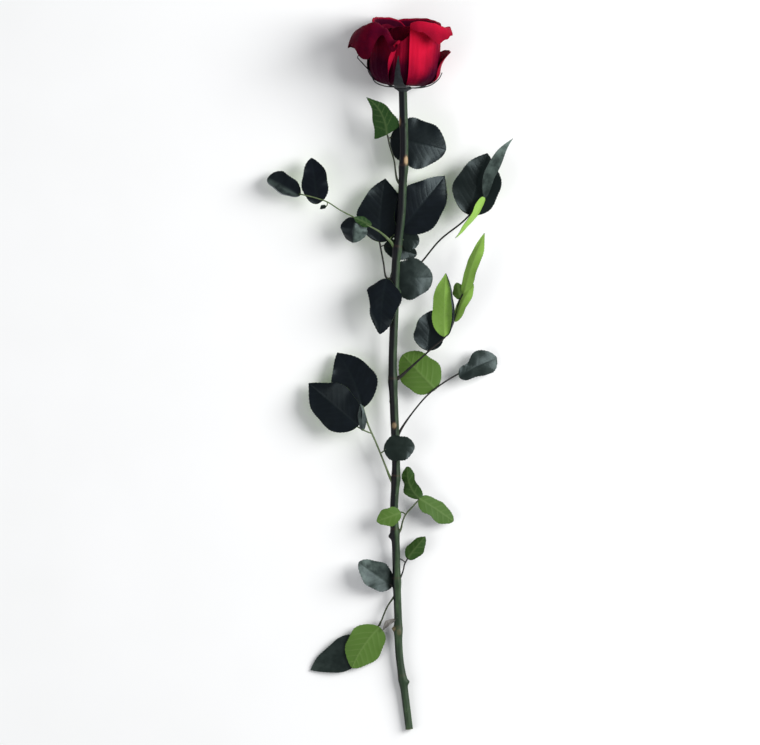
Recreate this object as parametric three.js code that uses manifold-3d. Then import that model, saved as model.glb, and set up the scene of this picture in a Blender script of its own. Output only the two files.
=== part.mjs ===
// A cut long-stem rose lying on a table: a thorned green cane, a calyx, a bloom of many
// petals and eleven compound leaves. Millimetres. The cane runs along Y with the bloom at +Y,
// X is to the right and Z is up from the table.
import * as THREE from "three";
import { mergeVertices } from "three/addons/utils/BufferGeometryUtils.js";
import Module from "manifold-3d";

const wasm = await Module();
wasm.setup();

// ---------------------------------------------------------------- driving dimensions
const GAP = 0.3; // clearance between neighbouring pieces
const BLADE = 0.7; // thickness of a leaflet
const PETAL = 0.8; // thickness of a petal
const TOOTH = 1.1; // how far a leaf tooth stands out from the edge
const STALK_FOOT = 0.8; // extra radius of a leaf stalk where it meets the cane
const STALK_FOOT_FADE = 12; // how soon that extra radius fades along the stalk
const STALK_THIN_BY = 1 / 3; // share of the stalk where it has reached its thin radius
const TABLE = { lowest: 0.1, softness: 1.2, size: 200 }; // the table presses the lowest petals flat
const STUB_ROOT = 1; // how deep a thorn stub is sunk into the cane
const SEPAL_TAPER = 0.9; // how late a sepal narrows
const SEPAL_TIP = 0.5; // half width of a sepal at its tip
const LEAFLET_ROOT = 0.45; // least half width of a leaflet, where it meets its stalk
const WIDEST = 0.44; // where along a leaflet it is widest, as a share of its length
const BELLY = 1.9; // how full a leaflet's sides are between there and the tip
const WAIST_LENGTH = 0.16; // length of a leaflet's waist, as a share of the leaflet's length
const CURL_START = 0.5; // where a curled side of a leaflet starts to roll, as a share of its width
const RIPPLE = { waves: 9, leftPhase: 1, rightPhase: 3 }; // waves along a leaflet's two edges, in radians
const TIP_SHAPE = [0.55, 1.15]; // how a leaflet narrows to a round tip and to a drawn-out one
const TOOTH_SHARE = 0.05; // deepest tooth as a share of a small leaflet's width
const TOOTH_LEAN = 0.35; // how far a tooth leans to the tip, as a share of its spacing

const CANE = {
  route: [
    [14.5, -268, 2.8],
    [11, -240, 4.2],
    [7, -212, 5.7],
    [6, -182, 7.3],
    [5, -156, 8.7],
    [4.5, -133.5, 9.9],
    [3, -103.5, 11.5],
    [4.5, -73.5, 13.1],
    [3, -27, 15.7],
    [2, 1.5, 17.2],
    [3.5, 50, 19.8],
    [4.5, 82.5, 21.5],
    [8.5, 118, 23.4],
    [9.5, 140, 24.6],
    [10.5, 166.5, 26],
    [9.6, 210.8, 28.1],
  ],
  radiusFoot: 2.8,
  radiusHead: 3.15,
  joints: [-230, -193, -157, -120, -80, -7, 92, 153], // Y of the swollen leaf joints
  jointHeight: 0.55,
  jointLength: 5,
  sides: 8,
  steps: 46,
};
const STUB_FACETS = [6, 4]; // round a thorn stub and along it
const LATHE_SIDES = { hip: 12, core: 10 };
const STALK_SIDES = { main: 5, short: 4 };

// Thorn stubs and bud scars on the cane: where along it (Y), round it in degrees from the top
// (positive to the right), how far they stand out and how long they are.
const STUBS = [
  { y: 187, around: 12, height: 0.9, length: 4.5 },
  { y: 159, around: 35, height: 0.9, length: 5 },
  { y: -40, around: -8, height: 0.9, length: 5 },
  { y: -123, around: -85, height: 1.9, length: 4 },
  { y: -233, around: 88, height: 1.7, length: 4 },
  { y: -195, around: 10, height: 0.9, length: 5 },
  { y: 60, around: 100, height: 1.8, length: 4.5 },
  { y: -22, around: -150, height: 1.6, length: 4 },
];

// A dried stipule left on the cane beside the lowest leaf.
const STIPULE = {
  base: [4, -187, 8.4], tip: [-6, -194, 9.6], width: 4.6, roll: 24, fold: 22, arch: 1, bend: -0.8,
  twist: 30, ripple: 0.4, point: 0.9,
};

// Bloom frame: the foot of the bloom, its axis and the heights along that axis.
const BLOOM = {
  foot: [9.6, 213, 28.4],
  axis: [0.05, 1, 0],
  height: 50, // reference height of the petals
  shoulder: 0.35, // share of the height where the bowl has reached its full radius
  bowlShape: [2.4, 0.35], // how round the bowl is
  rootRadius: 3,
  rootHeight: 2,
  riseShape: 1.7, // how late a petal rises from the floor of the bowl
  rollShare: 0.32, // share of a petal's length that rolls over
  corner: 0.22, // usual share of the height that a petal's corners lose
  cornerShape: 6, // how far out across a petal its corners begin
  taperTo: 0.75, // share of a petal's length where it has reached its full spread
};

// Profile of the hip under the bloom: radius and height from the foot of the bloom.
const HIP = [
  [0, -1.5],
  [4.3, -1.5],
  [6.3, -0.5],
  [6.6, 0.5],
  [5.4, 1.4],
  [0, 1.4],
];

// Sepals: direction round the bloom in degrees from straight up (positive to the right), half
// width at the root, and the path as [radius, height] pairs from the hip to the tip.
const SEPALS = [
  { around: -9, half: 6.2, path: [[5, 0.4], [14, 1], [21.5, 4], [26.6, 10], [28.4, 17], [28.8, 24]] },
  { around: 96, half: 2.4, path: [[5, 0.4], [14, 1], [21.5, 3.6], [27, 8.5], [29, 13]] },
  { around: 142, half: 2.8, path: [[5, 0.4], [14, 0.4], [23, 1.6], [30, 4.5], [34, 9]] },
  { around: 205, half: 2.8, path: [[5, 0.4], [14, 0.4], [22, 1.4], [27.5, 3.5], [29.5, 8]] },
  {
    around: 272, half: 1.6,
    path: [[5, 0.4], [14, 0.9], [20.9, 3.6], [25.6, 11.5], [31, 17], [35.1, 21.4], [34, 22.8], [30, 21.4]],
  },
];

// Outer petals: direction round the bloom, spread to each side, the share of the spread that is
// lost towards the root, bowl radius, the share of the height that the corners lose, how much
// longer than round the rolled edge hangs down, and the rim as [place across -1..1, crest height,
// radius of the rolled edge, degrees of roll] entries.
const OUTER_PETALS = [
  {
    around: -54,
    spread: 62,
    taper: 0.85,
    radius: 25.5,
    droop: 2.3,
    rim: [
      [-1, 36, 8, 150], [-0.8, 40, 8.5, 158], [-0.45, 43, 8.8, 162], [-0.1, 46, 8.2, 186],
      [0.13, 48, 7, 218], [0.36, 44, 4.2, 150], [0.62, 35.5, 4.2, 175], [1, 40, 3.4, 150],
    ],
  },
  {
    around: 52,
    spread: 45,
    taper: 0.04,
    radius: 26.2,
    corner: 0.04,
    droop: 2.6,
    rim: [
      [-1, 50.5, 4, 150], [-0.75, 51, 5.2, 162], [-0.27, 49.4, 6.2, 172], [0, 47.6, 6.8, 152],
      [0.3, 46.5, 7, 135], [0.7, 47.5, 6, 110], [1, 48.5, 6, 90],
    ],
  },
  {
    around: -8,
    spread: 33,
    taper: 0.1,
    radius: 23.4,
    rim: [[-1, 33, 2, 30], [0, 35, 2, 30], [0.6, 40.5, 2, 30], [1, 43, 2, 30]],
  },
  { around: -92, spread: 44, taper: 0.1, radius: 24.2, rim: [[-1, 30, 4, 20], [1, 34, 4, 20]] },
  {
    around: 118,
    spread: 46,
    taper: 0.2,
    radius: 27.7,
    rim: [[-1, 27, 22, 44], [0, 30, 22, 48], [1, 27, 16, 45]],
  },
  {
    around: 178,
    spread: 52,
    taper: 0.2,
    radius: 29.2,
    rim: [[-1, 40, 6, 60], [0, 43, 6, 40], [1, 39, 6, 60]],
  },
  {
    around: -140,
    spread: 50,
    taper: 0.2,
    radius: 27.4,
    rim: [[-1, 44, 7, 60], [0, 45, 8, 80], [1, 42, 6, 60]],
  },
  {
    around: 158,
    spread: 58,
    taper: 0.1,
    radius: 24.8,
    rim: [[-1, 51.5, 4.5, 80], [0, 52.5, 5, 70], [1, 51, 4, 60]],
  },
  {
    around: -128,
    spread: 58,
    taper: 0.1,
    radius: 23,
    rim: [[-1, 51.5, 4, 50], [0, 52, 4, 60], [1, 52, 4, 70]],
  },
];

// Inner petals follow a spiral: each stands a golden angle on from the last, with a smaller
// radius and a tighter wrap.
const INNER_PETALS = {
  count: 9,
  firstAround: 95,
  goldenAngle: 137.5,
  outerRadius: 20.6,
  innerRadius: 5,
  outerHeight: 47,
  innerHeight: 41,
  heightShape: 1.5,
  outerSpread: 68,
  innerSpread: 120,
  outerRoll: 40,
  innerRoll: 10,
  rollRadius: 3,
  cornerDrop: 3,
  taper: 0.1,
};

// Profile of the small core at the heart of the bloom.
const CORE = [
  [0, 1.8],
  [8, 1.8],
  [15, 3.6],
  [16.5, 8],
  [13, 18],
  [7, 27],
  [3, 33],
  [0, 35],
];

// Compound leaves. rachis is the route of the stalk from inside the cane; stalks are the short
// side stalks. A leaflet has a base, a tip and a width; roll turns it about its own length, 0
// with the dark upper face to +Z and 180 with the pale underside up; fold lifts both halves in
// a V; arch and bend bow the midrib out of and in the blade's plane; twist turns it from base
// to tip; ripple waves the edges; point is 0 for a round tip and 1 for a drawn-out one; widest,
// belly, waist and waistAt change its outline from the usual one; curlLeft and curlRight roll
// the outer part of a side up by so many degrees, seen from the base with the dark face up.
const LEAVES = {
  leaf_top: {
    stalkRadius: [0.9, 0.65],
    rachis: [[9, 139.5, 24.4], [5.5, 144, 25.2], [3, 159, 25.6], [0, 169, 26], [-2, 178, 26.5]],
    stalks: [[[-1, 174, 25.6], [-0.5, 175.5, 22.4], [1.5, 176, 18.6]]],
    leaflets: [
      {
        base: [-2.5, 178, 26.7], tip: [-17.5, 206, 29.2], width: 21.2, roll: 172, fold: 6,
        arch: -0.8, bend: 4.1, ripple: 0.4, point: 0.75, widest: 0.05, belly: 1.5,
      },
      {
        base: [0.5, 176, 18.6], tip: [42, 166.5, 12], width: 37, roll: -3, fold: 3, arch: 2,
        ripple: 0.9, point: 0.12,
      },
    ],
  },
  leaf_far_left: {
    stalkRadius: [1.05, 0.6],
    rachis: [
      [5, 90, 21.2], [1, 97, 23.2], [-7.5, 105, 25], [-16.5, 110, 25.6], [-27, 116, 24.6],
      [-37.5, 121.5, 22.6], [-47, 127.5, 20], [-55.5, 130.5, 17.6], [-68, 133.5, 14],
    ],
    stalks: [
      [[-1, 98.5, 23.6], [1, 101, 20.4], [4, 103.5, 18.2], [8, 106, 17.3]],
      [[-47, 127.5, 20], [-47, 125.5, 20.2], [-48, 124, 20.4]],
      [[4, 103.5, 18.2], [7, 101, 17.2], [10, 99, 16.4]],
    ],
    leaflets: [
      {
        base: [-67.5, 132.5, 14], tip: [-91.5, 146, 8], width: 18, roll: 10, fold: 6, arch: 1.5,
        twist: 14, ripple: 0.7, point: 0.1, curlLeft: 120,
      },
      {
        base: [-55, 126, 17], tip: [-59, 160.5, 12.6], width: 20, roll: -6, fold: 8, arch: 1.5,
        bend: -1, ripple: 0.7, point: 0.6,
      },
      {
        base: [-26, 116, 24.4], tip: [-28, 97, 20], width: 22, roll: 6, fold: -27, arch: 3,
        ripple: 0.8, point: 0,
      },
      {
        base: [-14, 110, 25.8], tip: [-27, 116, 27.5], width: 7, roll: 186, fold: 12, arch: 0.5,
        ripple: 0.2, point: 0.3,
      },
      {
        base: [-48, 124.5, 20.3], tip: [-52.5, 122.5, 20.8], width: 3.8, roll: 30, fold: 20,
        ripple: 0.2, point: 0.5,
      },
      {
        base: [8, 106, 17.7], tip: [41, 147, 11.5], width: 35, roll: 3, fold: 5, arch: 3, ripple: 1,
        point: 0.75,
      },
      {
        base: [8.5, 99.5, 16.5], tip: [22, 98.5, 15], width: 16, roll: 0, fold: 5, arch: 0.5,
        ripple: 0.3, point: 0,
      },
    ],
  },
  leaf_upper_left: {
    stalkRadius: [0.95, 0.65],
    rachis: [[5, 69.5, 20.5], [1, 70, 20.7], [-2.5, 70.5, 20.9], [-5, 82.5, 18.4], [-8, 98, 16.6]],
    stalks: [
      [[-1.5, 69.5, 20.5], [-1, 68.5, 17.6], [1, 69, 15.6]],
      [[-7, 94, 17], [-4.5, 95, 16], [0, 94, 15]],
    ],
    leaflets: [
      {
        base: [-7.5, 97.5, 16.4], tip: [-3.5, 145, 12], width: 34.5, roll: 2, fold: 3, arch: 1.2,
        bend: 1.2, ripple: 0.9, point: 0.7,
      },
      {
        base: [-4.5, 95, 15.8], tip: [20, 88, 10], width: 15, roll: 0, fold: 6, arch: 0.5,
        ripple: 0.4, point: 0,
      },
      {
        base: [-2.5, 70, 21.4], tip: [-7.5, 28.5, 24.2], width: 27, roll: 2, fold: 3, arch: 4.9,
        bend: -0.8, ripple: 0.8, point: 0.3, widest: 0.3, belly: 2, waist: 0.4, waistAt: 0.05,
        curlRight: -30,
      },
      {
        base: [0, 69, 15.6], tip: [32, 71, 11], width: 30, roll: 0, fold: 4, arch: 3.2, ripple: 0.7,
        point: 0,
      },
    ],
  },
  leaf_upper_right: {
    stalkRadius: [0.95, 0.65],
    rachis: [
      [4.5, 53, 20], [8.5, 58.5, 20.2], [14, 71, 20], [25, 84, 19.6], [37.5, 99, 19],
      [56, 114, 18.6], [70.5, 130.5, 19],
    ],
    stalks: [],
    leaflets: [
      {
        base: [59, 118, 18], tip: [73, 164, 12.5], width: 35, roll: 2, fold: 5, arch: 1.5,
        ripple: 0.9, point: 0.6,
      },
      {
        base: [71, 131, 19.8], tip: [92, 175, 26], width: 9.5, roll: 14, fold: 14, arch: 2, bend: 5,
        twist: -10, ripple: 0.5, point: 0.8,
      },
      {
        base: [71, 131, 19.6], tip: [49, 100.5, 24], width: 10, roll: 124, fold: 10, arch: -2,
        twist: -10, ripple: 0.4, point: 0.9, widest: 0.3, belly: 1.3,
      },
    ],
  },
  leaf_bright_right: {
    stalkRadius: [1.1, 0.65],
    rachis: [
      [2.5, -6, 16.8], [7, -4, 17.4], [15, 3, 18.6], [30, 16.5, 20.4], [43.5, 29, 21.6],
      [49.5, 43, 22], [52.5, 54, 22.2], [55, 58.5, 22.4],
    ],
    stalks: [
      [[27, 14, 20], [28, 14.5, 17.6], [28.5, 16, 15.2]],
    ],
    leaflets: [
      {
        base: [55, 57, 22.4], tip: [71, 104, 27], width: 14.5, roll: 146, fold: 10, arch: -2,
        twist: 12, ripple: 0.7, point: 0.6,
      },
      {
        base: [53, 54.5, 22], tip: [50, 67, 19], width: 9.5, roll: 168, fold: 10, arch: -0.5,
        ripple: 0.3, point: 0.2,
      },
      {
        base: [48.5, 38, 22], tip: [62.5, 66, 25], width: 9.5, roll: 146, fold: 10, arch: -1.5,
        twist: 10, ripple: 0.4, point: 0.1,
      },
      {
        base: [41, 26.5, 21.6], tip: [42, 74, 26], width: 22.5, roll: 160, fold: 14, arch: -2,
        twist: -8, ripple: 0.9, point: 0.75, curlLeft: -165,
      },
      {
        base: [28.5, 16, 15], tip: [31, 46, 11.5], width: 24, roll: 4, fold: 8, arch: 1,
        ripple: 0.6, point: 0.5,
      },
    ],
  },
  leaf_middle_right: {
    stalkRadius: [0.9, 0.6],
    rachis: [
      [4, -52, 14.4], [8, -43.5, 14.8], [16.5, -31, 15], [28.5, -17, 15], [41, -7.5, 14.4],
      [56, 2, 13.2],
    ],
    stalks: [],
    leaflets: [
      {
        base: [52, -4, 13], tip: [80, 11, 3.5], width: 22, roll: -4, fold: 6, arch: 1.6, bend: 1,
        twist: 14, ripple: 0.9, point: 0.1, widest: 0.66, waist: 0.3, waistAt: 0.32,
      },
      {
        base: [34, -13, 14.2], tip: [9.5, 13, 9], width: 29.5, roll: 178, fold: 7, arch: -1,
        ripple: 0.6, point: 0,
      },
    ],
  },
  leaf_middle_left: {
    stalkRadius: [1, 0.65],
    rachis: [
      [4.5, -86, 12.4], [1, -81, 13], [-4, -69, 14.4], [-10.5, -53, 15.4], [-17, -38, 15.2],
      [-20.5, -25.5, 13.6],
    ],
    stalks: [
      [[-7, -61, 14.8], [-5, -59.5, 17], [-3, -58, 18.6]],
      [[-14, -46, 15.4], [-19, -44, 17], [-24.5, -41, 17.7]],
    ],
    leaflets: [
      {
        base: [-4.5, -58.5, 18.4], tip: [18.5, -55.5, 18], width: 19.5, roll: 0, fold: 6, arch: 1.6,
        ripple: 0.5, point: 0.05,
      },
      {
        base: [-20.5, -27, 13.6], tip: [-39.5, 14.5, 7], width: 33, roll: 2, fold: 5, arch: 2,
        bend: -2.5, ripple: 0.9, point: 0.7,
      },
      {
        base: [-24, -40.5, 17.6], tip: [-61, -8.5, 10.5], width: 33, roll: -6, fold: 5, arch: 2,
        ripple: 1, point: 0.75,
      },
      {
        base: [-20.5, -44, 17.2], tip: [-22, -24, 18.6], width: 7.5, roll: 36, fold: 10,
        ripple: 0.2, point: 0.4,
      },
    ],
  },
  leaf_low_right: {
    stalkRadius: [0.9, 0.6],
    rachis: [
      [4.5, -123, 10.4], [8, -118, 11.2], [9.5, -112, 12.6], [12, -106.5, 13.8], [17, -101, 14],
      [22, -95.5, 13.4],
    ],
    stalks: [[[11.5, -107, 13.7], [10, -105.5, 15.4], [8, -105, 16.7]]],
    leaflets: [
      {
        base: [22, -95, 13.2], tip: [13, -71, 7], width: 14, roll: 170, fold: 10, arch: -0.8,
        bend: -3, ripple: 0.9, point: 0.1, waist: 0.35, waistAt: 0.55,
      },
      {
        base: [22, -95, 13.4], tip: [47.5, -112, 7], width: 17, roll: 156, fold: 10, arch: -1,
        ripple: 0.5, point: 0.05, waist: 0.14, waistAt: 0.4,
      },
      {
        base: [8, -105.5, 16.6], tip: [-10, -112, 17], width: 14, roll: 176, fold: 6, arch: -1,
        ripple: 0.4, point: 0.3,
      },
    ],
  },
  leaf_tiny_right: {
    stalkRadius: [0.85, 0.55],
    rachis: [[5, -160, 8.6], [8, -154, 9.4], [10, -148.5, 10], [11, -144, 10.2], [13.5, -139.5, 10.2]],
    stalks: [[[11.5, -143, 10.2], [10, -141.5, 10.6], [7.5, -140, 11]]],
    leaflets: [
      {
        base: [13, -140, 10.2], tip: [26.5, -123.5, 7], width: 13, roll: 160, fold: 10, arch: -0.8,
        ripple: 0.4, point: 0.5,
      },
    ],
  },
  leaf_low_left: {
    stalkRadius: [1.1, 0.9],
    rachis: [[5, -162, 8.2], [2, -160.5, 6.4], [-1, -158, 4.9]],
    stalks: [],
    leaflets: [
      {
        base: [2, -160, 4.7], tip: [-23.5, -143, 14], width: 21, roll: 12, fold: 4, arch: 1.5,
        bend: 1, ripple: 0.6, point: 0.1,
      },
    ],
  },
  leaf_bottom_left: {
    stalkRadius: [0.85, 0.6],
    rachis: [[5.5, -165, 8.2], [2, -170, 8.4], [-2, -176, 8], [-8, -190.5, 7]],
    stalks: [[[-7, -187, 7.2], [-10, -193.5, 5], [-13, -201.5, 3.2]]],
    leaflets: [
      {
        base: [-8, -191, 7], tip: [-29, -223, 5], width: 29, roll: 176, fold: 7, arch: -1, bend: 2,
        ripple: 0.6, point: 0.3,
      },
      {
        base: [-13, -201, 3.4], tip: [-59.5, -223.5, 1.6], width: 24, roll: -2, fold: 5, arch: 0.7,
        ripple: 0.5, point: 0.6,
      },
    ],
  },
};

const COLOURS = {
  cane: 0x2c3a2a,
  calyx: 0x2a332b,
  bloom: 0xa3132f,
  darkLeaf: 0x1b2622,
  brightLeaf: 0x5f8240,
};

// ---------------------------------------------------------------- small helpers
const UP = new THREE.Vector3(0, 0, 1);
const radians = THREE.MathUtils.degToRad;
const mix = THREE.MathUtils.lerp;
const vector = (p) => new THREE.Vector3(...p);

// A closed three.js geometry as a solid that can be joined and cut.
function solidOf(geometry) {
  const bare = geometry.clone();
  bare.deleteAttribute("normal");
  bare.deleteAttribute("uv");
  const merged = mergeVertices(bare, 1e-4);
  return new wasm.Manifold(
    new wasm.Mesh({
      numProp: 3,
      vertProperties: new Float32Array(merged.getAttribute("position").array),
      triVerts: new Uint32Array(merged.index.array),
    }),
  );
}

// A named mesh with its own material from a solid.
function meshOf(name, solid, colour, roughness) {
  const { vertProperties, triVerts } = solid.getMesh();
  const geometry = new THREE.BufferGeometry();
  geometry.setAttribute("position", new THREE.BufferAttribute(new Float32Array(vertProperties), 3));
  geometry.setIndex(new THREE.BufferAttribute(new Uint32Array(triVerts), 1));
  geometry.computeVertexNormals();
  const material = new THREE.MeshStandardMaterial({ color: colour, roughness, metalness: 0 });
  const mesh = new THREE.Mesh(geometry, material);
  mesh.name = name;
  return mesh;
}

// The union with its sealed pockets filled: the inward-facing shells inside it are left out.
function fuse(solids) {
  const shells = wasm.Manifold.union(solids).decompose();
  return wasm.Manifold.union(shells.filter((shell) => shell.volume() > 0));
}

// A blade of even thickness over a surface point(u, v), u 0..1 and v -1..1, split into the
// same triangles on both faces.
function blade(point, thickness, alongStations, acrossStations) {
  const rows = alongStations.length;
  const columns = acrossStations.length;
  const middle = alongStations.map((u) => acrossStations.map((v) => point(u, v)));
  const cell = (i, j) =>
    middle[THREE.MathUtils.clamp(i, 0, rows - 1)][THREE.MathUtils.clamp(j, 0, columns - 1)];
  const points = [];
  for (const face of [1, -1]) {
    for (let i = 0; i < rows; i += 1) {
      for (let j = 0; j < columns; j += 1) {
        const alongStep = cell(i + 1, j).clone().sub(cell(i - 1, j));
        const acrossStep = cell(i, j + 1).clone().sub(cell(i, j - 1));
        const normal = alongStep.cross(acrossStep).normalize();
        points.push(middle[i][j].clone().addScaledVector(normal, (face * thickness) / 2));
      }
    }
  }
  const top = (i, j) => i * columns + j;
  const bottom = (i, j) => rows * columns + i * columns + j;
  const index = [];
  const quad = (a, b, c, d) => index.push(a, b, c, a, c, d);
  for (let i = 0; i + 1 < rows; i += 1) {
    for (let j = 0; j + 1 < columns; j += 1) {
      quad(top(i, j), top(i + 1, j), top(i + 1, j + 1), top(i, j + 1));
      index.push(bottom(i, j), bottom(i + 1, j + 1), bottom(i + 1, j));
      index.push(bottom(i, j), bottom(i, j + 1), bottom(i + 1, j + 1));
    }
  }
  for (let i = 0; i + 1 < rows; i += 1) {
    quad(top(i, 0), bottom(i, 0), bottom(i + 1, 0), top(i + 1, 0));
    const last = columns - 1;
    quad(top(i, last), top(i + 1, last), bottom(i + 1, last), bottom(i, last));
  }
  for (let j = 0; j + 1 < columns; j += 1) {
    quad(top(0, j), top(0, j + 1), bottom(0, j + 1), bottom(0, j));
    const last = rows - 1;
    quad(top(last, j), bottom(last, j), bottom(last, j + 1), top(last, j + 1));
  }
  const geometry = new THREE.BufferGeometry().setFromPoints(points);
  geometry.setIndex(index);
  return solidOf(geometry);
}

// A round rod of changing radius: a cylinder bent along the route.
function rod(points, radiusAt, sides, steps) {
  const route = new THREE.CatmullRomCurve3(points.map(vector), false, "centripetal");
  const shape = new THREE.CylinderGeometry(1, 1, 1, sides, steps);
  const position = shape.getAttribute("position");
  for (let i = 0; i < position.count; i += 1) {
    const t = THREE.MathUtils.clamp(position.getY(i) + 0.5, 0, 1);
    const centre = route.getPointAt(t);
    const tangent = route.getTangentAt(t);
    const side = UP.clone().cross(tangent).normalize();
    const over = tangent.clone().cross(side);
    const radius = radiusAt(t, centre);
    centre.addScaledVector(over, position.getX(i) * radius);
    centre.addScaledVector(side, position.getZ(i) * radius);
    position.setXYZ(i, centre.x, centre.y, centre.z);
  }
  return solidOf(shape);
}

// ---------------------------------------------------------------- the cane
const caneRoute = new THREE.CatmullRomCurve3(CANE.route.map(vector), false, "centripetal");

// Radius of the cane, wider at its leaf joints.
function caneRadius(t, centre) {
  const plain = mix(CANE.radiusFoot, CANE.radiusHead, Math.min(1, t * 2));
  return CANE.joints.reduce(
    (radius, y) => radius + CANE.jointHeight * Math.exp(-(((centre.y - y) / CANE.jointLength) ** 2)),
    plain,
  );
}

// The point of the cane's middle line at a given Y.
function caneAt(y) {
  let low = 0;
  let high = 1;
  for (let i = 0; i < 30; i += 1) {
    const half = (low + high) / 2;
    if (caneRoute.getPointAt(half).y < y) low = half;
    else high = half;
  }
  return { t: low, centre: caneRoute.getPointAt(low) };
}

// The cane with its stubs and stipule; extra makes it larger all round, to cut room for it.
function caneSolid(extra = 0) {
  const grown = (t, centre) => caneRadius(t, centre) + extra;
  const cane = rod(CANE.route, grown, CANE.sides, CANE.steps);
  const stubs = STUBS.map(({ y, around, height, length }) => {
    const { t, centre } = caneAt(y);
    const outward = new THREE.Vector3(Math.sin(radians(around)), 0, Math.cos(radians(around)));
    const stub = new THREE.SphereGeometry(1, ...STUB_FACETS);
    stub.scale(length / 4 + extra, length / 2 + extra, height + STUB_ROOT + extra);
    stub.rotateY(radians(around));
    const seat = centre.addScaledVector(outward, caneRadius(t, centre) - STUB_ROOT);
    stub.translate(seat.x, seat.y, seat.z);
    return solidOf(stub);
  });
  return fuse([cane, leafletSolid(STIPULE), ...stubs]);
}

// ---------------------------------------------------------------- the bloom and its calyx
const bloomFoot = vector(BLOOM.foot);
const bloomAxis = vector(BLOOM.axis).normalize();
const bloomRight = bloomAxis.clone().cross(UP);

// A point of the bloom from its angle round the axis, its radius and its height.
function bloomPoint(around, radius, height) {
  return bloomFoot
    .clone()
    .addScaledVector(bloomAxis, height)
    .addScaledVector(UP, radius * Math.cos(around))
    .addScaledVector(bloomRight, radius * Math.sin(around));
}

// A petal's point after the table has pressed it.
function pressed(point) {
  const over = point.z - TABLE.lowest;
  point.z = TABLE.lowest + (over + Math.hypot(over, TABLE.softness)) / 2;
  return point;
}

// Radius of a bowl at a height, as a share of its full radius.
function bowl(height) {
  const share = THREE.MathUtils.clamp(height / BLOOM.height / BLOOM.shoulder, 0, 1);
  const [floor, wall] = BLOOM.bowlShape;
  return (1 - (1 - share) ** floor) ** wall;
}

// The rim entries of a petal, blended at a place across it.
function rimAt(rim, across) {
  const next = rim.findIndex(([place]) => place >= across);
  if (next <= 0) return rim[0].slice(1);
  const [before, after] = [rim[next - 1], rim[next]];
  const share = THREE.MathUtils.smoothstep(across, before[0], after[0]);
  return before.slice(1).map((value, k) => mix(value, after[k + 1], share));
}

// A point of a petal's middle surface: u runs from root to rim, across from -1 to 1.
function petalPoint(petal, u, across) {
  const { around, spread, taper, radius, rim, droop = 1 } = petal;
  const [crest, rollRadius, roll] = rimAt(rim, across);
  const rollSweep = radians(roll);
  const topOfRoll = rollRadius * Math.sin(Math.min(rollSweep, Math.PI / 2));
  const bowlTop = crest - topOfRoll;
  const corner = 1 - (petal.corner ?? BLOOM.corner) * Math.abs(across) ** BLOOM.cornerShape;
  const rising = Math.min(1, u / (1 - BLOOM.rollShare));
  const rolled = Math.max(0, u - 1 + BLOOM.rollShare) / BLOOM.rollShare;
  const sweep = rollSweep * corner * rolled;
  const riseTo = bowlTop * corner - BLOOM.rootHeight;
  const height = BLOOM.rootHeight + riseTo * rising ** BLOOM.riseShape;
  const reach = mix(BLOOM.rootRadius, radius, bowl(height - BLOOM.rootHeight * (1 - rising)));
  const narrowing = Math.max(0, 1 - u / BLOOM.taperTo);
  const angle = radians(around + spread * across * (1 - taper * narrowing));
  const hang = sweep > Math.PI / 2 ? (droop - 1) * (1 - Math.sin(sweep)) : 0;
  return pressed(
    bloomPoint(
      angle,
      reach + rollRadius * (1 - Math.cos(sweep)),
      height + rollRadius * (Math.sin(sweep) - hang),
    ),
  );
}

// Stations along and across the petals, root to rim and side to side.
const PETAL_ALONG = [0, 0.14, 0.34, 0.68, 0.8, 0.9, 1];
const INNER_ALONG = [0, 0.3, 0.68, 0.85, 1];
const PETAL_ACROSS = [-1, -0.7, -0.4, 0, 0.4, 0.7, 1];
const INNER_ACROSS = [-1, -0.5, 0, 0.5, 1];

// The rolled petals round the heart, each smaller than the one before it.
function innerPetals() {
  const set = INNER_PETALS;
  return Array.from({ length: set.count }, (_, k) => {
    const share = k / (set.count - 1);
    const height = mix(set.outerHeight, set.innerHeight, share ** set.heightShape);
    const roll = mix(set.outerRoll, set.innerRoll, share);
    return {
      around: set.firstAround + k * set.goldenAngle,
      spread: mix(set.outerSpread, set.innerSpread, share),
      taper: set.taper,
      radius: mix(set.outerRadius, set.innerRadius, share),
      rim: [
        [-1, height - set.cornerDrop, set.rollRadius, roll], [0, height, set.rollRadius, roll],
        [1, height - set.cornerDrop, set.rollRadius, roll],
      ],
    };
  });
}

// A lathed body about the bloom's axis.
function turned(profile, sides) {
  const shape = new THREE.LatheGeometry(profile.map(([r, h]) => new THREE.Vector2(r, h)), sides);
  const turn = new THREE.Quaternion().setFromUnitVectors(new THREE.Vector3(0, 1, 0), bloomAxis);
  shape.applyQuaternion(turn);
  shape.translate(...BLOOM.foot);
  return solidOf(shape);
}

// All petals and the core as one body, flat where it lies on the table.
function bloomSolid(calyxRoom) {
  const petalBlade = (along, across) => (petal) =>
    blade((u, v) => petalPoint(petal, u, v), PETAL, along, across);
  const petals = [
    ...OUTER_PETALS.map(petalBlade(PETAL_ALONG, PETAL_ACROSS)),
    ...innerPetals().map(petalBlade(INNER_ALONG, INNER_ACROSS)),
  ];
  const table = new THREE.BoxGeometry(TABLE.size, TABLE.size, TABLE.size);
  table.translate(bloomFoot.x, bloomFoot.y, -TABLE.size / 2);
  const whole = fuse([turned(CORE, LATHE_SIDES.core), ...petals]);
  return fuse([whole.subtract(solidOf(table)).subtract(calyxRoom)]);
}

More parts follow.
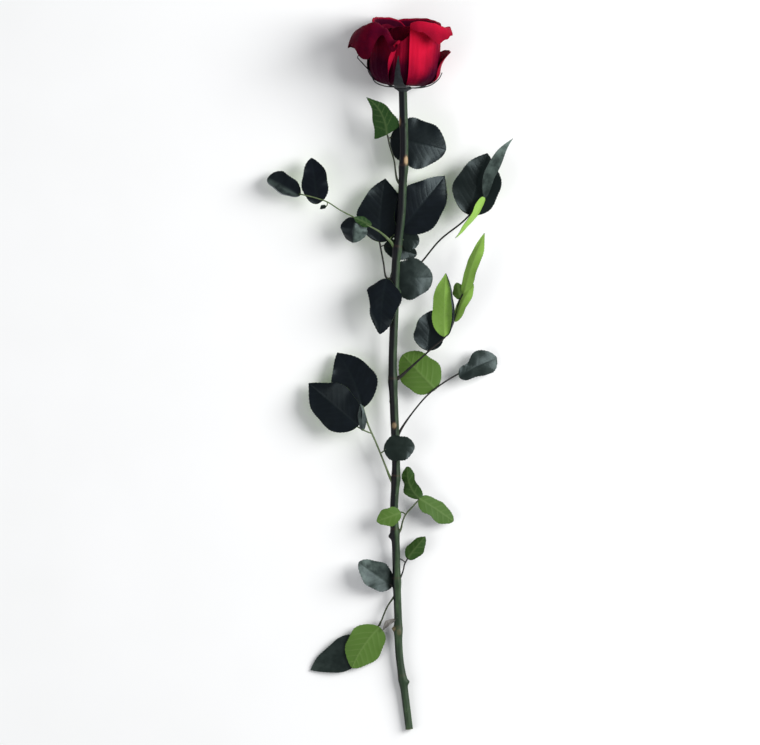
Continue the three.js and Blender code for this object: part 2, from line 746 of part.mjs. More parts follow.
// A sepal: a blade that follows its path and narrows to the tip.
function sepal({ around, half, path }, extra) {
  const route = new THREE.CatmullRomCurve3(path.map(([r, h]) => new THREE.Vector3(r, h, 0)));
  const surface = (u, across) => {
    const { x: radius, y: height } = route.getPoint(u);
    const width = half * (1 - u ** SEPAL_TAPER) + SEPAL_TIP + extra;
    return bloomPoint(radians(around) + (across * width) / radius, radius, height);
  };
  return blade(surface, PETAL + 2 * extra, [0, 0.2, 0.4, 0.6, 0.8, 1], [-1, 0, 1]);
}

// The hip and its sepals; extra makes them larger all round.
function calyxSolid(extra = 0) {
  const hip = HIP.map(([r, h]) => [r > 0 ? r + extra : 0, h > 0 ? h + extra : h - extra]);
  return fuse([turned(hip, LATHE_SIDES.hip), ...SEPALS.map((spec) => sepal(spec, extra))]);
}

// ---------------------------------------------------------------- the leaves
// Half width of a leaflet at a place along it, as a share of its greatest half width.
function outline(u, { point, widest = WIDEST, belly = BELLY, waist = 0, waistAt = 0.5 }) {
  const pinch = 1 - waist * Math.exp(-(((u - waistAt) / WAIST_LENGTH) ** 2));
  if (u < widest) return pinch * Math.sqrt(1 - ((widest - u) / widest) ** 2);
  const beyond = (u - widest) / (1 - widest);
  return pinch * (1 - beyond ** belly) ** mix(...TIP_SHAPE, point);
}

// A point of a leaflet's middle surface: u runs from base to tip, across from -1 to 1.
function leafletPoint(spec, u, across, toothOut) {
  const { width, roll, fold, ripple, arch = 0, bend = 0, twist = 0 } = spec;
  const curl = radians((across > 0 ? spec.curlLeft : spec.curlRight) ?? 0);
  const base = vector(spec.base);
  const along = vector(spec.tip).sub(base);
  const length = along.length();
  along.normalize();
  const flatSide = UP.clone().cross(along).normalize();
  const flatUp = along.clone().cross(flatSide);
  const turn = radians(roll + twist * (u - 0.5));
  const side = flatSide.clone().multiplyScalar(Math.cos(turn)).addScaledVector(flatUp, Math.sin(turn));
  const up = flatUp.clone().multiplyScalar(Math.cos(turn)).addScaledVector(flatSide, -Math.sin(turn));
  const half = Math.max(LEAFLET_ROOT, (width / 2) * outline(u, spec) + toothOut);
  const flat = Math.min(Math.abs(across), CURL_START);
  const rolled = Math.abs(across) - flat;
  const sweep = (curl * rolled) / (1 - CURL_START);
  const reach = half * (flat + (sweep ? (rolled * Math.sin(sweep)) / sweep : rolled));
  const rise = sweep ? (half * rolled * (1 - Math.cos(sweep))) / sweep : 0;
  const bow = 4 * u * (1 - u);
  const lift = radians(fold);
  const phase = across > 0 ? RIPPLE.leftPhase : RIPPLE.rightPhase;
  const wave = ripple * across ** 2 * Math.sin(RIPPLE.waves * u + phase);
  const sideways = Math.sign(across) * (reach * Math.cos(lift) - rise * Math.sin(lift));
  return base
    .addScaledVector(along, length * u)
    .addScaledVector(side, sideways + bend * bow)
    .addScaledVector(up, reach * Math.sin(lift) + rise * Math.cos(lift) + arch * bow + wave);
}

// A toothed leaflet: every second station is a tooth, which leans towards the tip.
function leafletSolid(spec) {
  const length = vector(spec.base).distanceTo(vector(spec.tip));
  const teeth = length > 28 ? 4 : length > 18 ? 3 : 2;
  const stations = Array.from({ length: 2 * teeth + 1 }, (_, k) => k / (2 * teeth));
  const depth = Math.min(TOOTH, spec.width * TOOTH_SHARE);
  const surface = (u, across) => {
    const station = Math.round(u * 2 * teeth);
    const atEdge = Math.abs(across) === 1;
    const isTooth = station % 2 === 1;
    const lean = atEdge && isTooth ? TOOTH_LEAN / (2 * teeth) : 0;
    return leafletPoint(spec, u + lean, across, atEdge ? (isTooth ? depth : -depth / 2) : 0);
  };
  return blade(surface, BLADE, stations, length > 22 ? [-1, -0.5, 0, 0.5, 1] : [-1, 0, 1]);
}

// A compound leaf: the main stalk, its short side stalks and the leaflets.
function leafSolid({ stalkRadius, rachis, stalks, leaflets }, caneRoom) {
  const [thick, thin] = stalkRadius;
  const foot = (t) => STALK_FOOT * Math.exp(-STALK_FOOT_FADE * t);
  const mainRadius = (t) => mix(thick, thin, Math.min(1, t / STALK_THIN_BY)) + foot(t);
  const main = rod(rachis, mainRadius, STALK_SIDES.main, 2 * rachis.length);
  const short = stalks.map((route) => rod(route, () => thin, STALK_SIDES.short, route.length));
  const blades = leaflets.map(leafletSolid);
  return fuse([fuse([main, ...short]).subtract(caneRoom), ...blades]);
}

// ---------------------------------------------------------------- the scene
const rose = new THREE.Group();
const caneRoom = caneSolid(GAP);
rose.add(meshOf("stem", caneSolid(), COLOURS.cane, 0.5));
rose.add(meshOf("calyx", calyxSolid(), COLOURS.calyx, 0.6));
rose.add(meshOf("bloom", bloomSolid(calyxSolid(GAP)), COLOURS.bloom, 0.55));
for (const [name, spec] of Object.entries(LEAVES)) {
  const isBright = spec.leaflets[0].roll > 90;
  const colour = isBright ? COLOURS.brightLeaf : COLOURS.darkLeaf;
  rose.add(meshOf(name, leafSolid(spec, caneRoom), colour, 0.45));
}

export default rose;
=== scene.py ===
"""A cut long-stem rose that lies on a pale table, seen from straight above.

The frame is the part's own: +Y runs along the cane towards the bloom, +X is to the right seen
from above and +Z is up from the table. Sizes of the plant are given in millimetres, as they are
measured on a real rose, and every mesh is written in metres.
"""

from __future__ import annotations

import logging
import math
from collections.abc import Callable
from dataclasses import dataclass, field
from enum import Enum
from functools import partial

import bpy
import numpy as np
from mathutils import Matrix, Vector

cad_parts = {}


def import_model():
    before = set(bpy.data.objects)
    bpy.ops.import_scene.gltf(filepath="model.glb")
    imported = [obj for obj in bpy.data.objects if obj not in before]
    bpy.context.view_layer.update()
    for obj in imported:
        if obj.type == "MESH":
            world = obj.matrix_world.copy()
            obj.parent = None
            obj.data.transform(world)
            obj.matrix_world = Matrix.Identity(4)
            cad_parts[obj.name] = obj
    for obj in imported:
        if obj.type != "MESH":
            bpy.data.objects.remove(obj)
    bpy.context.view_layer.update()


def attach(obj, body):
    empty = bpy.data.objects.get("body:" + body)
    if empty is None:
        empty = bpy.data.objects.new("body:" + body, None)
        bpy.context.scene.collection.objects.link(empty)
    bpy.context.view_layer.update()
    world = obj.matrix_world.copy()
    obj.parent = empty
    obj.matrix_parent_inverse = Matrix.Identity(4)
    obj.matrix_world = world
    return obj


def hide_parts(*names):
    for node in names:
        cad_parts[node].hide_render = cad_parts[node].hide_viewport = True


LOG = logging.getLogger("rose")

MM = 0.001
PHOTO_WIDTH_PX = 760
MM_PER_PX = 0.75
CAMERA_CENTRE_MM = (-7.5, -0.375)
UP = np.array([0.0, 0.0, 1.0])
STEP = 0.004  # share of a surface or route over which its direction is taken
TINY = 1e-6
MOST_CUTS = 100  # that one subdivision makes
CURVE_STEPS = 24  # between two given points of a curve

Route = list[tuple[float, float, float]]
Array = np.ndarray
Piece = bpy.types.Object
Material = bpy.types.Material
Socket = bpy.types.NodeSocket
Surface = Callable[[Array, Array], Array]
Waves = tuple[tuple[float, float, float], ...]

# waves across a petal: how many radians to each side, how high and how far the seed moves them
RIM_WAVES: Waves = ((5.2, 1.0, 1.0), (9.7, 0.6, 2.1), (21, 0.35, 3.3))
FOLDS: Waves = ((13, 0.22, 1.7), (31, 0.12, 1.0))
CURL_SWEEP = 2.7  # radians that a petal's curled side turns

TOOTH_MM = 1.9  # length of a tooth on a leaflet's edge
VEIN_MM = 5.5  # from one side vein to the next
FACE_MM = 0.42  # length of a face along a leaflet


# ---------------------------------------------------------------- colours and shader nodes


def linear(code: str) -> tuple[float, float, float, float]:
    """Turn an sRGB hex colour into the linear colour that shaders use.

    Args:
        code: the colour as "#rrggbb".

    Returns:
        Red, green, blue and an alpha of one, all linear.
    """
    parts = [int(code[i : i + 2], 16) / 255 for i in (1, 3, 5)]
    r, g, b = (p / 12.92 if p <= 0.04045 else ((p + 0.055) / 1.055) ** 2.4 for p in parts)
    return (r, g, b, 1.0)


def add_node(
    tree: bpy.types.NodeTree,
    kind: str,
    links: dict[int | str, Socket] | None = None,
    values: dict[int | str, object] | None = None,
    **settings: object,
) -> bpy.types.Node:
    """Add a shader node with its settings, values and links.

    Args:
        tree: the material's node tree.
        kind: type of the node.
        links: input sockets, by name or number, and the output that feeds each.
        values: input sockets, by name or number, and the value of each.
        **settings: properties of the node itself.

    Returns:
        The new node.
    """
    node = tree.nodes.new(kind)
    for name, setting in settings.items():
        setattr(node, name, setting)
    for key, value in (values or {}).items():
        node.inputs[key].default_value = value
    for key, source in (links or {}).items():
        tree.links.new(source, node.inputs[key])
    return node


class Slot(Enum):
    """The material slots of the part."""

    PETALS = "petals"
    CALYX = "calyx"
    CANE = "cane"
    LEAF_DARK = "leaf_dark"
    LEAF_BRIGHT = "leaf_bright"


@dataclass
class Shader:
    """A material under construction, with its Principled shader.

    Attributes:
        name: the finish that the material shows.
        seed: shifts each noise so that no two finishes share a pattern.
    """

    name: str
    seed: float = 0.0
    material: Material = field(init=False)
    tree: bpy.types.NodeTree = field(init=False)
    surface: bpy.types.Node = field(init=False)
    place: Socket = field(init=False)

    def __post_init__(self) -> None:
        """Start the node tree with a Principled shader and object coordinates."""
        self.material = bpy.data.materials.new(self.name)
        self.material.use_nodes = True
        self.tree = self.material.node_tree
        self.surface = self.tree.nodes["Principled BSDF"]
        self.place = add_node(self.tree, "ShaderNodeTexCoord").outputs["Object"]

    def set(self, **values: object) -> None:
        """Set the shader's own sockets; an underscore in a name stands for a space."""
        for name, value in values.items():
            self.surface.inputs[name.replace("_", " ")].default_value = value

    def attribute(self, name: str) -> Socket:
        """Read a number that the mesh carries at its vertices."""
        node = add_node(self.tree, "ShaderNodeAttribute", attribute_name=name)
        return node.outputs["Fac"]

    def feed(self, socket: Socket, item: object) -> None:
        """Link a socket to another, or set it to a number or an sRGB hex colour."""
        if isinstance(item, Socket):
            self.tree.links.new(item, socket)
        else:
            socket.default_value = linear(item) if isinstance(item, str) else item

    def math(self, kind: str, a: object, b: object = 0.0, c: object = 0.0) -> Socket:
        """Work out a number from sockets or plain numbers.

        Args:
            kind: the operation.
            a: first input, a socket or a number.
            b: second input.
            c: third input.

        Returns:
            The result's socket.
        """
        node = add_node(self.tree, "ShaderNodeMath", operation=kind)
        for key, item in enumerate((a, b, c)):
            self.feed(node.inputs[key], item)
        return node.outputs[0]

    def noise(
        self, size_mm: float, detail: float = 3.0, stretch: tuple[float, float, float] = (1, 1, 1)
    ) -> Socket:
        """Cloudy noise with blotches of a real size.

        Args:
            size_mm: size of a blotch.
            detail: octaves of finer noise.
            stretch: how much finer the noise is along each axis.

        Returns:
            The noise from 0 to 1.
        """
        moved = add_node(
            self.tree,
            "ShaderNodeMapping",
            {"Vector": self.place},
            {"Location": (self.seed, self.seed * 0.7, -self.seed), "Scale": stretch},
        )
        node = add_node(
            self.tree,
            "ShaderNodeTexNoise",
            {"Vector": moved.outputs["Vector"]},
            {"Scale": 1 / (size_mm * MM), "Detail": detail, "Roughness": 0.55},
        )
        return node.outputs["Fac"]

    def remap(
        self,
        value: Socket,
        low: float,
        high: float,
        to_low: float = 0.0,
        to_high: float = 1.0,
    ) -> Socket:
        """Stretch a range of a number smoothly to another range.

        Args:
            value: the number.
            low: where the range starts.
            high: where the range ends.
            to_low: result at the start.
            to_high: result at the end.

        Returns:
            The stretched number.
        """
        node = add_node(
            self.tree,
            "ShaderNodeMapRange",
            {"Value": value},
            {"From Min": low, "From Max": high, "To Min": to_low, "To Max": to_high},
            interpolation_type="SMOOTHSTEP",
        )
        return node.outputs["Result"]

    def layer(self, below: object, above: object, amount: object) -> Socket:
        """Lay one colour over another.

        Args:
            below: the lower colour, a socket or an sRGB hex code.
            above: the upper colour, a socket or an sRGB hex code.
            amount: how much of the upper colour shows, a socket or a number.

        Returns:
            The joined colour.
        """
        node = add_node(self.tree, "ShaderNodeMix", data_type="RGBA")
        for key, item in ((0, amount), (6, below), (7, above)):
            self.feed(node.inputs[key], item)
        return node.outputs[2]

    def cells(self, size_mm: float, feature: str = "F1") -> Socket:
        """Distances in a pattern of irregular cells.

        Args:
            size_mm: width of a cell.
            feature: what the distance is taken from.

        Returns:
            The distance's socket.
        """
        node = add_node(
            self.tree,
            "ShaderNodeTexVoronoi",
            {"Vector": self.place},
            {"Scale": 1 / (size_mm * MM)},
            feature=feature,
        )
        return node.outputs["Distance"]

    def bump(self, height: Socket, depth_mm: float, strength: float = 1.0) -> None:
        """Add fine relief; a second call adds to the first.

        Args:
            height: the relief from 0 to 1.
            depth_mm: its real depth.
            strength: how strongly it tilts the surface.
        """
        node = add_node(
            self.tree,
            "ShaderNodeBump",
            {"Height": height},
            {"Distance": depth_mm * MM, "Strength": strength},
        )
        normal = self.surface.inputs["Normal"]
        if normal.is_linked:
            self.tree.links.new(normal.links[0].from_socket, node.inputs["Normal"])
        self.tree.links.new(node.outputs["Normal"], normal)

    def paint(self, socket: str, source: Socket) -> None:
        """Feed one socket of the Principled shader."""
        self.tree.links.new(source, self.surface.inputs[socket])


# ---------------------------------------------------------------- finishes


@dataclass(frozen=True)
class VelvetPetal:
    """Preserved rose petal: soft cells scatter light, so it looks like dull velvet."""

    bright: str = "#c21434"
    deep: str = "#33031a"
    # the colour of the painted shade at the claw of a petal
    base: str = "#45102a"
    edge: str = "#3a0410"
    ribs: float = 74.0
    rib_drift: float = 16.0

    def build(self) -> Material:
        """Make the petal's material.

        Returns:
            The material. Its mesh carries shade (0 bright, 1 deep: its own deeper red with painted
            shade and painted light), up (0 root, 1 rim) and side (-1 to 1 across the petal).
        """
        shader = Shader("velvet_petal", 0.31)
        shader.set(Roughness=0.6, Specular_IOR_Level=0.012)
        shader.set(Subsurface_Weight=0.08, Subsurface_Scale=0.002, Subsurface_Radius=(1.0, 0.12, 0.1))
        blotch = shader.noise(9, 3)
        mottle = shader.remap(blotch, 0.3, 0.75, -0.05, 0.05)
        # the mesh's shade adds painted shade and painted light to the petal's own deeper red
        shade = shader.math("ADD", shader.attribute("shade"), mottle)
        clean = shader.layer(self.bright, self.deep, shader.remap(shade, 0.0, 1.0))
        up = shader.attribute("up")
        # painted shade: the claw of the petal is darker and duller, where the sepals shade it
        root_shaded = shader.layer(clean, self.base, shader.remap(up, 0.0, 0.16, 0.45, 0.0))
        edge = shader.remap(up, 0.93, 1.0, 0.0, 0.35)
        shader.paint("Base Color", shader.layer(root_shaded, self.edge, edge))
        # fine veins run from root to rim, about 2 mm apart, and drift with the blotches
        drift = shader.math("MULTIPLY", blotch, self.rib_drift)
        phase = shader.math("MULTIPLY_ADD", shader.attribute("side"), self.ribs, drift)
        shader.bump(shader.math("SINE", phase), 0.05, 0.3)
        shader.bump(shader.noise(0.6, 2), 0.05, 0.4)
        return shader.material


@dataclass(frozen=True)
class LeafBlade:
    """Preserved rose leaf: waxy blue-green above with painted sheen in places, paler and duller
    beneath.
    """

    above: str = "#080b12"
    above_light: str = "#10141d"
    above_green: str = "#151d18"
    # colour of the painted sheen on the upper face
    wax: str = "#6f7f78"
    beneath: str = "#86b04a"
    beneath_light: str = "#93ba5a"
    # deep underside colour, partly its own and partly painted shade
    beneath_deep_and_shade: str = "#1e3a10"
    beneath_fleck: str = "#4c6a2e"
    # colour of the painted grey sheen on the lower face
    beneath_painted_sheen: str = "#8b8e92"
    vein_above: str = "#1b2624"
    vein_beneath: str = "#a9bf80"
    glint: str = "#cfe2e4"
    net_mm: float = 0.7

    def upper(self, shader: Shader, cloud: object, marks: dict[str, object]) -> Socket:
        """Colour of the upper face.

        Args:
            shader: the material under construction.
            cloud: the leaf's blotches.
            marks: what the mesh carries: tint, vein and the amount of painted sheen.

        Returns:
            The colour.
        """
        light = shader.remap(cloud, 0.35, 0.8, 0.0, 0.7)
        colour = shader.layer(self.above, self.above_light, light)
        colour = shader.layer(colour, self.above_green, marks["tint"])
        colour = shader.layer(colour, self.vein_above, shader.math("MULTIPLY", marks["vein"], 0.22))
        # painted sheen pales the upper face, thickest in blotches
        sheen_film = shader.math("MULTIPLY", marks["wax"], shader.remap(cloud, 0.32, 0.68, 0.35, 1.25))
        return shader.layer(colour, self.wax, sheen_film)

    def lower(self, shader: Shader, cloud: object, marks: dict[str, object]) -> Socket:
        """Colour of the lower face; the arguments are those of upper.

        Returns:
            The colour.
        """
        light = shader.remap(cloud, 0.4, 0.8, 0.0, 0.3)
        colour = shader.layer(self.beneath, self.beneath_light, light)
        # a higher tint deepens the underside: partly its own colour, partly painted shade
        colour = shader.layer(colour, self.beneath_deep_and_shade, marks["tint"])
        fleck = shader.remap(shader.noise(1.1, 3), 0.5, 0.8, 0.0, 0.3)
        colour = shader.layer(colour, self.beneath_fleck, fleck)
        # veins stand out less on a deep underside, and under a painted sheen the lower face gets a
        # painted grey sheen too
        clear = shader.remap(marks["tint"], 0.0, 1.0, 0.14, 0.1)
        colour = shader.layer(colour, self.vein_beneath, shader.math("MULTIPLY", marks["vein"], clear))
        return shader.layer(colour, self.beneath_painted_sheen, shader.remap(marks["wax"], 0.0, 0.15))

    def build(self) -> Material:
        """Make the leaf's material.

        Returns:
            The material. Its mesh carries under (1 on the lower face), tint (0 for a blue-black
            upper face and a light lower one, 1 for a greener and a deeper one, the deeper lower face
            partly painted shade), wax (1 for a pale painted sheen on the upper face, with a painted
            grey sheen beneath) and vein (1 on a vein).
        """
        shader = Shader("leaf_blade", 1.7)
        shader.set(Specular_IOR_Level=0.26, Specular_Tint=linear(self.glint))
        # the side walls of the blade keep the upper colour almost to the lower face
        under = shader.remap(shader.attribute("under"), 0.7, 1.0)
        cloud = shader.noise(7, 4)
        marks = {name: shader.attribute(name) for name in ("tint", "vein", "wax")}
        above, beneath = (face(shader, cloud, marks) for face in (self.upper, self.lower))
        shader.paint("Base Color", shader.layer(above, beneath, under))
        shader.paint("Roughness", shader.remap(under, 0.0, 1.0, 0.3, 0.6))
        # the net of finest veins, as a shallow relief
        net = shader.cells(self.net_mm, "DISTANCE_TO_EDGE")
        shader.bump(shader.remap(net, 0.0, 0.25), 0.02, 0.25)
        shader.bump(shader.noise(3.5, 2), 0.2, 0.3)
        return shader.material


@dataclass(frozen=True)
class CaneBark:
    """Smooth green rose bark with a thin waxy bloom, painted shade on one side and painted light on the
    other.
    """

    green: str = "#273826"
    # light is painted light on the green side, dark is painted shade on the other side
    light: str = "#405639"
    dark: str = "#0a0a11"
    streak: str = "#141a14"
    lenticel: str = "#8c937a"
    lenticel_gap_mm: float = 4.2
    scar: str = "#a98f6c"
    scar_rim: str = "#4a3528"
    cut: str = "#55603c"

    def build(self) -> Material:
        """Make the cane's material.

        Returns:
            The material. Its mesh carries scar (1 on a thorn scar), rim (1 at its edge), flank (0 on
            the side in painted shade, 1 on the green side with painted light) and cut (1 on the cut
            end).
        """
        shader = Shader("cane_bark", 2.3)
        shader.set(Roughness=0.45, Specular_IOR_Level=0.18, Coat_Weight=0.02, Coat_Roughness=0.35)
        cloud = shader.noise(6, 4, (1, 0.35, 1))
        # painted shade: the dark colour covers the shaded side of the cane, and painted light brightens
        # the green side in blotches
        lit_side = shader.attribute("lit_side")
        light = shader.math("MULTIPLY", lit_side, shader.remap(cloud, 0.4, 0.75))
        streak = shader.noise(0.9, 3, (1, 0.08, 1))
        # lenticels: pale corky dots under a millimetre wide
        speck = shader.remap(shader.cells(self.lenticel_gap_mm), 0.05, 0.09, 0.3, 0.0)
        colour = shader.layer(self.dark, self.green, lit_side)
        for above, amount in (
            (self.light, light),
            (self.streak, shader.remap(streak, 0.5, 0.78, 0.0, 0.5)),
            (self.lenticel, speck),
            (self.scar, shader.attribute("scar")),
            (self.scar_rim, shader.attribute("rim")),
            (self.cut, shader.attribute("cut")),
        ):
            colour = shader.layer(colour, above, amount)
        shader.paint("Base Color", colour)
        shader.bump(streak, 0.12, 0.6)
        shader.bump(speck, 0.08, 0.5)
        return shader.material


@dataclass(frozen=True)
class LeafStalk:
    """Thin leaf stalk: pale green or nearly black, with fine grooves."""

    pale: str = "#7c9a5a"
    pale_light: str = "#a4b886"
    dark: str = "#1c1d1b"
    dark_light: str = "#2b2724"

    def build(self) -> Material:
        """Make the stalk's material.

        Returns:
            The material. Its mesh carries tint (0 pale green, 1 dark).
        """
        shader = Shader("leaf_stalk", 3.1)
        shader.set(Roughness=0.5, Specular_IOR_Level=0.25)
        cloud = shader.noise(4, 3)
        pale = shader.layer(self.pale, self.pale_light, shader.remap(cloud, 0.4, 0.7))
        dark = shader.layer(self.dark, self.dark_light, shader.remap(cloud, 0.42, 0.68))
        shader.paint("Base Color", shader.layer(pale, dark, shader.attribute("tint")))
        shader.bump(shader.noise(0.5, 2, (1, 0.3, 1)), 0.08, 0.6)
        return shader.material


@dataclass(frozen=True)
class DriedStipule:
    """Dead stipule: thin grey-brown papery skin."""

    skin: str = "#7c7a76"
    fibre: str = "#534d47"

    def build(self) -> Material:
        """Make the stipule's material.

        Returns:
            The material.
        """
        shader = Shader("dried_stipule", 6.4)
        shader.set(Roughness=0.75, Specular_IOR_Level=0.25)
        fibre = shader.noise(0.6, 3, (1, 0.2, 1))
        shader.paint("Base Color", shader.layer(self.skin, self.fibre, shader.remap(fibre, 0.4, 0.7)))
        shader.bump(fibre, 0.1, 0.6)
        return shader.material


@dataclass(frozen=True)
class DriedSepal:
    """Dried green calyx: grey-green, matte and slightly downy."""

    dark: str = "#171a1d"
    light: str = "#272c30"
    fibre: str = "#14181a"

    def build(self) -> Material:
        """Make the sepal's material.

        Returns:
            The material.
        """
        shader = Shader("dried_sepal", 4.2)
        shader.set(Roughness=0.7, Specular_IOR_Level=0.2, Sheen_Weight=0.06, Sheen_Roughness=0.5)
        colour = shader.layer(self.dark, self.light, shader.remap(shader.noise(3, 4), 0.35, 0.7))
        fibre = shader.noise(0.5, 3, (1, 0.12, 1))
        fibrous = shader.layer(colour, self.fibre, shader.remap(fibre, 0.5, 0.8, 0.0, 0.6))
        shader.paint("Base Color", fibrous)
        shader.bump(fibre, 0.12, 0.7)
        return shader.material


@dataclass(frozen=True)
class TableTop:
    """Matt white laminate with the faintest paper-like tooth."""

    white: str = "#f4f4f3"
    white_light: str = "#fafafa"

    def build(self) -> Material:
        """Make the table's material.

        Returns:
            The material.
        """
        shader = Shader("white_laminate", 5.0)
        shader.set(Roughness=0.75, Specular_IOR_Level=0.3)
        shader.paint("Base Color", shader.layer(self.white, self.white_light, shader.noise(90, 2)))
        shader.bump(shader.noise(0.8, 2), 0.02, 0.3)
        return shader.material


# ---------------------------------------------------------------- shaping helpers


def select(pieces: list[Piece]) -> None:
    """Select some objects alone and make the first active."""
    bpy.ops.object.select_all(action="DESELECT")
    for piece in pieces:
        piece.select_set(True)
    bpy.context.view_layer.objects.active = pieces[0]


def positions(piece: Piece) -> Array:
    """The piece's vertex positions as rows of x, y and z."""
    flat = np.zeros(len(piece.data.vertices) * 3)
    piece.data.vertices.foreach_get("co", flat)
    return flat.reshape(-1, 3)


def move_to(piece: Piece, points: Array) -> None:
    """Put the piece's vertices at the given places."""
    piece.data.vertices.foreach_set("co", points.astype(np.float32).ravel())
    piece.data.update()


def carry(piece: Piece, name: str, values: Array) -> None:
    """Store one number for each vertex for the material to read."""
    attribute = piece.data.attributes.get(name) or piece.data.attributes.new(name, "FLOAT", "POINT")
    attribute.data.foreach_set("value", np.asarray(values, np.float32))


def join(pieces: list[Piece], name: str) -> Piece:
    """Join pieces into the first of them, under a new name."""
    if len(pieces) > 1:
        select(pieces)
        bpy.ops.object.join()
    pieces[0].name = name
    pieces[0].data.name = name
    return pieces[0]


def dress(
    piece: Piece,
    finish: Material,
    crease: float,
    stands_for: str | None = None,
) -> Piece:
    """Give a finished piece its look and its place in the part.

    Args:
        piece: the piece.
        finish: its material.
        crease: degrees above which an edge stays crisp.
        stands_for: the node that it replaces, if any.

    Returns:
        The same piece.
    """
    piece.data.materials.append(finish)
    select([piece])
    bpy.ops.object.shade_smooth_by_angle(angle=math.radians(crease))
    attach(piece, "root")
    if stands_for:
        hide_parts(stands_for)
    return piece


def normals_of(surface: Surface, u: Array, v: Array) -> Array:
    """Unit normals of a surface, from small steps along and across it.

    Args:
        surface: gives points in millimetres from u and v.
        u: places along, 0 to 1.
        v: places across, -1 to 1.

    Returns:
        One unit normal for each place.
    """
    along = surface(np.minimum(u + STEP, 1), v) - surface(np.maximum(u - STEP, 0), v)
    across = surface(u, np.minimum(v + STEP, 1)) - surface(u, np.maximum(v - STEP, -1))
    normal = np.cross(along, across)
    return normal / np.maximum(np.linalg.norm(normal, axis=1, keepdims=True), 1e-9)


def sheet(
    name: str, surface: Surface, along: int, across: int, thickness: float
) -> tuple[Piece, Array, Array]:
    """A thin sheet of even thickness over a surface, made from a grid.

    Args:
        name: name of the piece.
        surface: gives points in millimetres from u (0 to 1) and v (-1 to 1).
        along: faces along the sheet.
        across: faces across the sheet.
        thickness: in millimetres.

    Returns:
        The piece, and u and v of each of its vertices. The second half of the vertices is the
        lower face.
    """
    bpy.ops.mesh.primitive_grid_add(x_subdivisions=along, y_subdivisions=across, size=1)
    piece = bpy.context.object
    piece.name = name
    flat = positions(piece)
    u = np.clip(flat[:, 0] + 0.5, 0, 1)
    v = np.clip(2 * flat[:, 1], -1, 1)
    move_to(piece, surface(u, v) * MM)
    wall = piece.modifiers.new("wall", "SOLIDIFY")
    wall.thickness = thickness * MM
    wall.offset = 0
    bpy.ops.object.modifier_apply(modifier=wall.name)
    return piece, np.tile(u, 2), np.tile(v, 2)


def spline(points: Array, t: Array) -> Array:
    """Points of a centripetal Catmull-Rom curve at even shares of its length.

    Args:
        points: the points that the curve passes through.
        t: shares of the curve's length, 0 to 1.

    Returns:
        One point for each share.
    """
    points = np.asarray(points, float)
    ends = [2 * points[0] - points[1], *points, 2 * points[-1] - points[-2]]
    pieces = []
    local = np.linspace(0, 1, CURVE_STEPS, endpoint=False)[:, None]
    for p0, p1, p2, p3 in zip(ends, ends[1:], ends[2:], ends[3:]):
        gaps = [max(np.linalg.norm(b - a) ** 0.5, 1e-4) for a, b in ((p0, p1), (p1, p2), (p2, p3))]
        start = ((p1 - p0) / gaps[0] - (p2 - p0) / (gaps[0] + gaps[1]) + (p2 - p1) / gaps[1]) * gaps[1]
        end = ((p2 - p1) / gaps[1] - (p3 - p1) / (gaps[1] + gaps[2]) + (p3 - p2) / gaps[2]) * gaps[1]
        cubic = 2 * p1 - 2 * p2 + start + end
        square = -3 * p1 + 3 * p2 - 2 * start - end
        pieces.append(cubic * local**3 + square * local**2 + start * local + p1)
    dense = np.vstack([*pieces, points[-1:]])
    lengths = np.concatenate([[0], np.cumsum(np.linalg.norm(np.diff(dense, axis=0), axis=1))])
    wanted = np.asarray(t) * lengths[-1]
    return np.stack([np.interp(wanted, lengths, dense[:, k]) for k in range(dense.shape[1])], axis=1)


def ringed_cylinder(name: str, sides: int, cuts: int) -> tuple[Piece, Array, Array]:
    """A cylinder of one by one, cut into rings.

    Args:
        name: name of the piece.
        sides: faces round it.
        cuts: cuts along it.

    Returns:
        The piece, its vertices, and which of them lie on its round wall.
    """
    bpy.ops.mesh.primitive_cylinder_add(vertices=sides, radius=1, depth=1, end_fill_type="TRIFAN")
    piece = bpy.context.object
    piece.name = name
    bpy.ops.object.mode_set(mode="EDIT")
    bpy.ops.mesh.select_mode(type="EDGE")
    bpy.ops.mesh.select_all(action="DESELECT")
    bpy.ops.object.mode_set(mode="OBJECT")
    for edge in piece.data.edges:
        low, high = (piece.data.vertices[i].co.z for i in edge.vertices)
        edge.select = abs(high - low) > 0.5
    bpy.ops.object.mode_set(mode="EDIT")
    bpy.ops.mesh.subdivide(number_cuts=cuts)
    bpy.ops.object.mode_set(mode="OBJECT")
    points = positions(piece)
    return piece, points, np.hypot(points[:, 0], points[:, 1]) > 0.5


def rod(
    name: str, route: Route, radius: Callable[[Array, Array], Array], sides: int, steps: int
) -> tuple[Piece, Array, Array]:
    """A round rod of changing radius: a ringed cylinder bent along a route.

    Args:
        name: name of the piece.
        route: points in millimetres.
        radius: gives the radius in millimetres from t (0 to 1) and the angle round the rod.
        sides: faces round the rod.
        steps: rings along it.

    Returns:
        The piece, and t and the angle of each of its vertices; the angle is 0 at the top and
        positive to the right of the way along.
    """
    piece, flat, wall = ringed_cylinder(name, sides, steps - 1)
    t = np.clip(flat[:, 2] + 0.5, 0, 1)
    angle = np.arctan2(flat[:, 0], flat[:, 1])
    ahead = spline(route, np.minimum(t + STEP, 1)) - spline(route, np.maximum(t - STEP, 0))
    ahead /= np.linalg.norm(ahead, axis=1, keepdims=True)
    right = np.cross(ahead, UP)
    right /= np.linalg.norm(right, axis=1, keepdims=True)
    over = np.cross(right, ahead)
    out = over * np.cos(angle)[:, None] + right * np.sin(angle)[:, None]
    size = np.where(wall, radius(t, angle), 0)
    move_to(piece, (spline(route, t) + out * size[:, None]) * MM)
    return piece, t, angle


def hill(distance: Array, width: float) -> Array:
    """A smooth bump of height one and the given half width."""
    return np.exp(-((distance / width) ** 2))


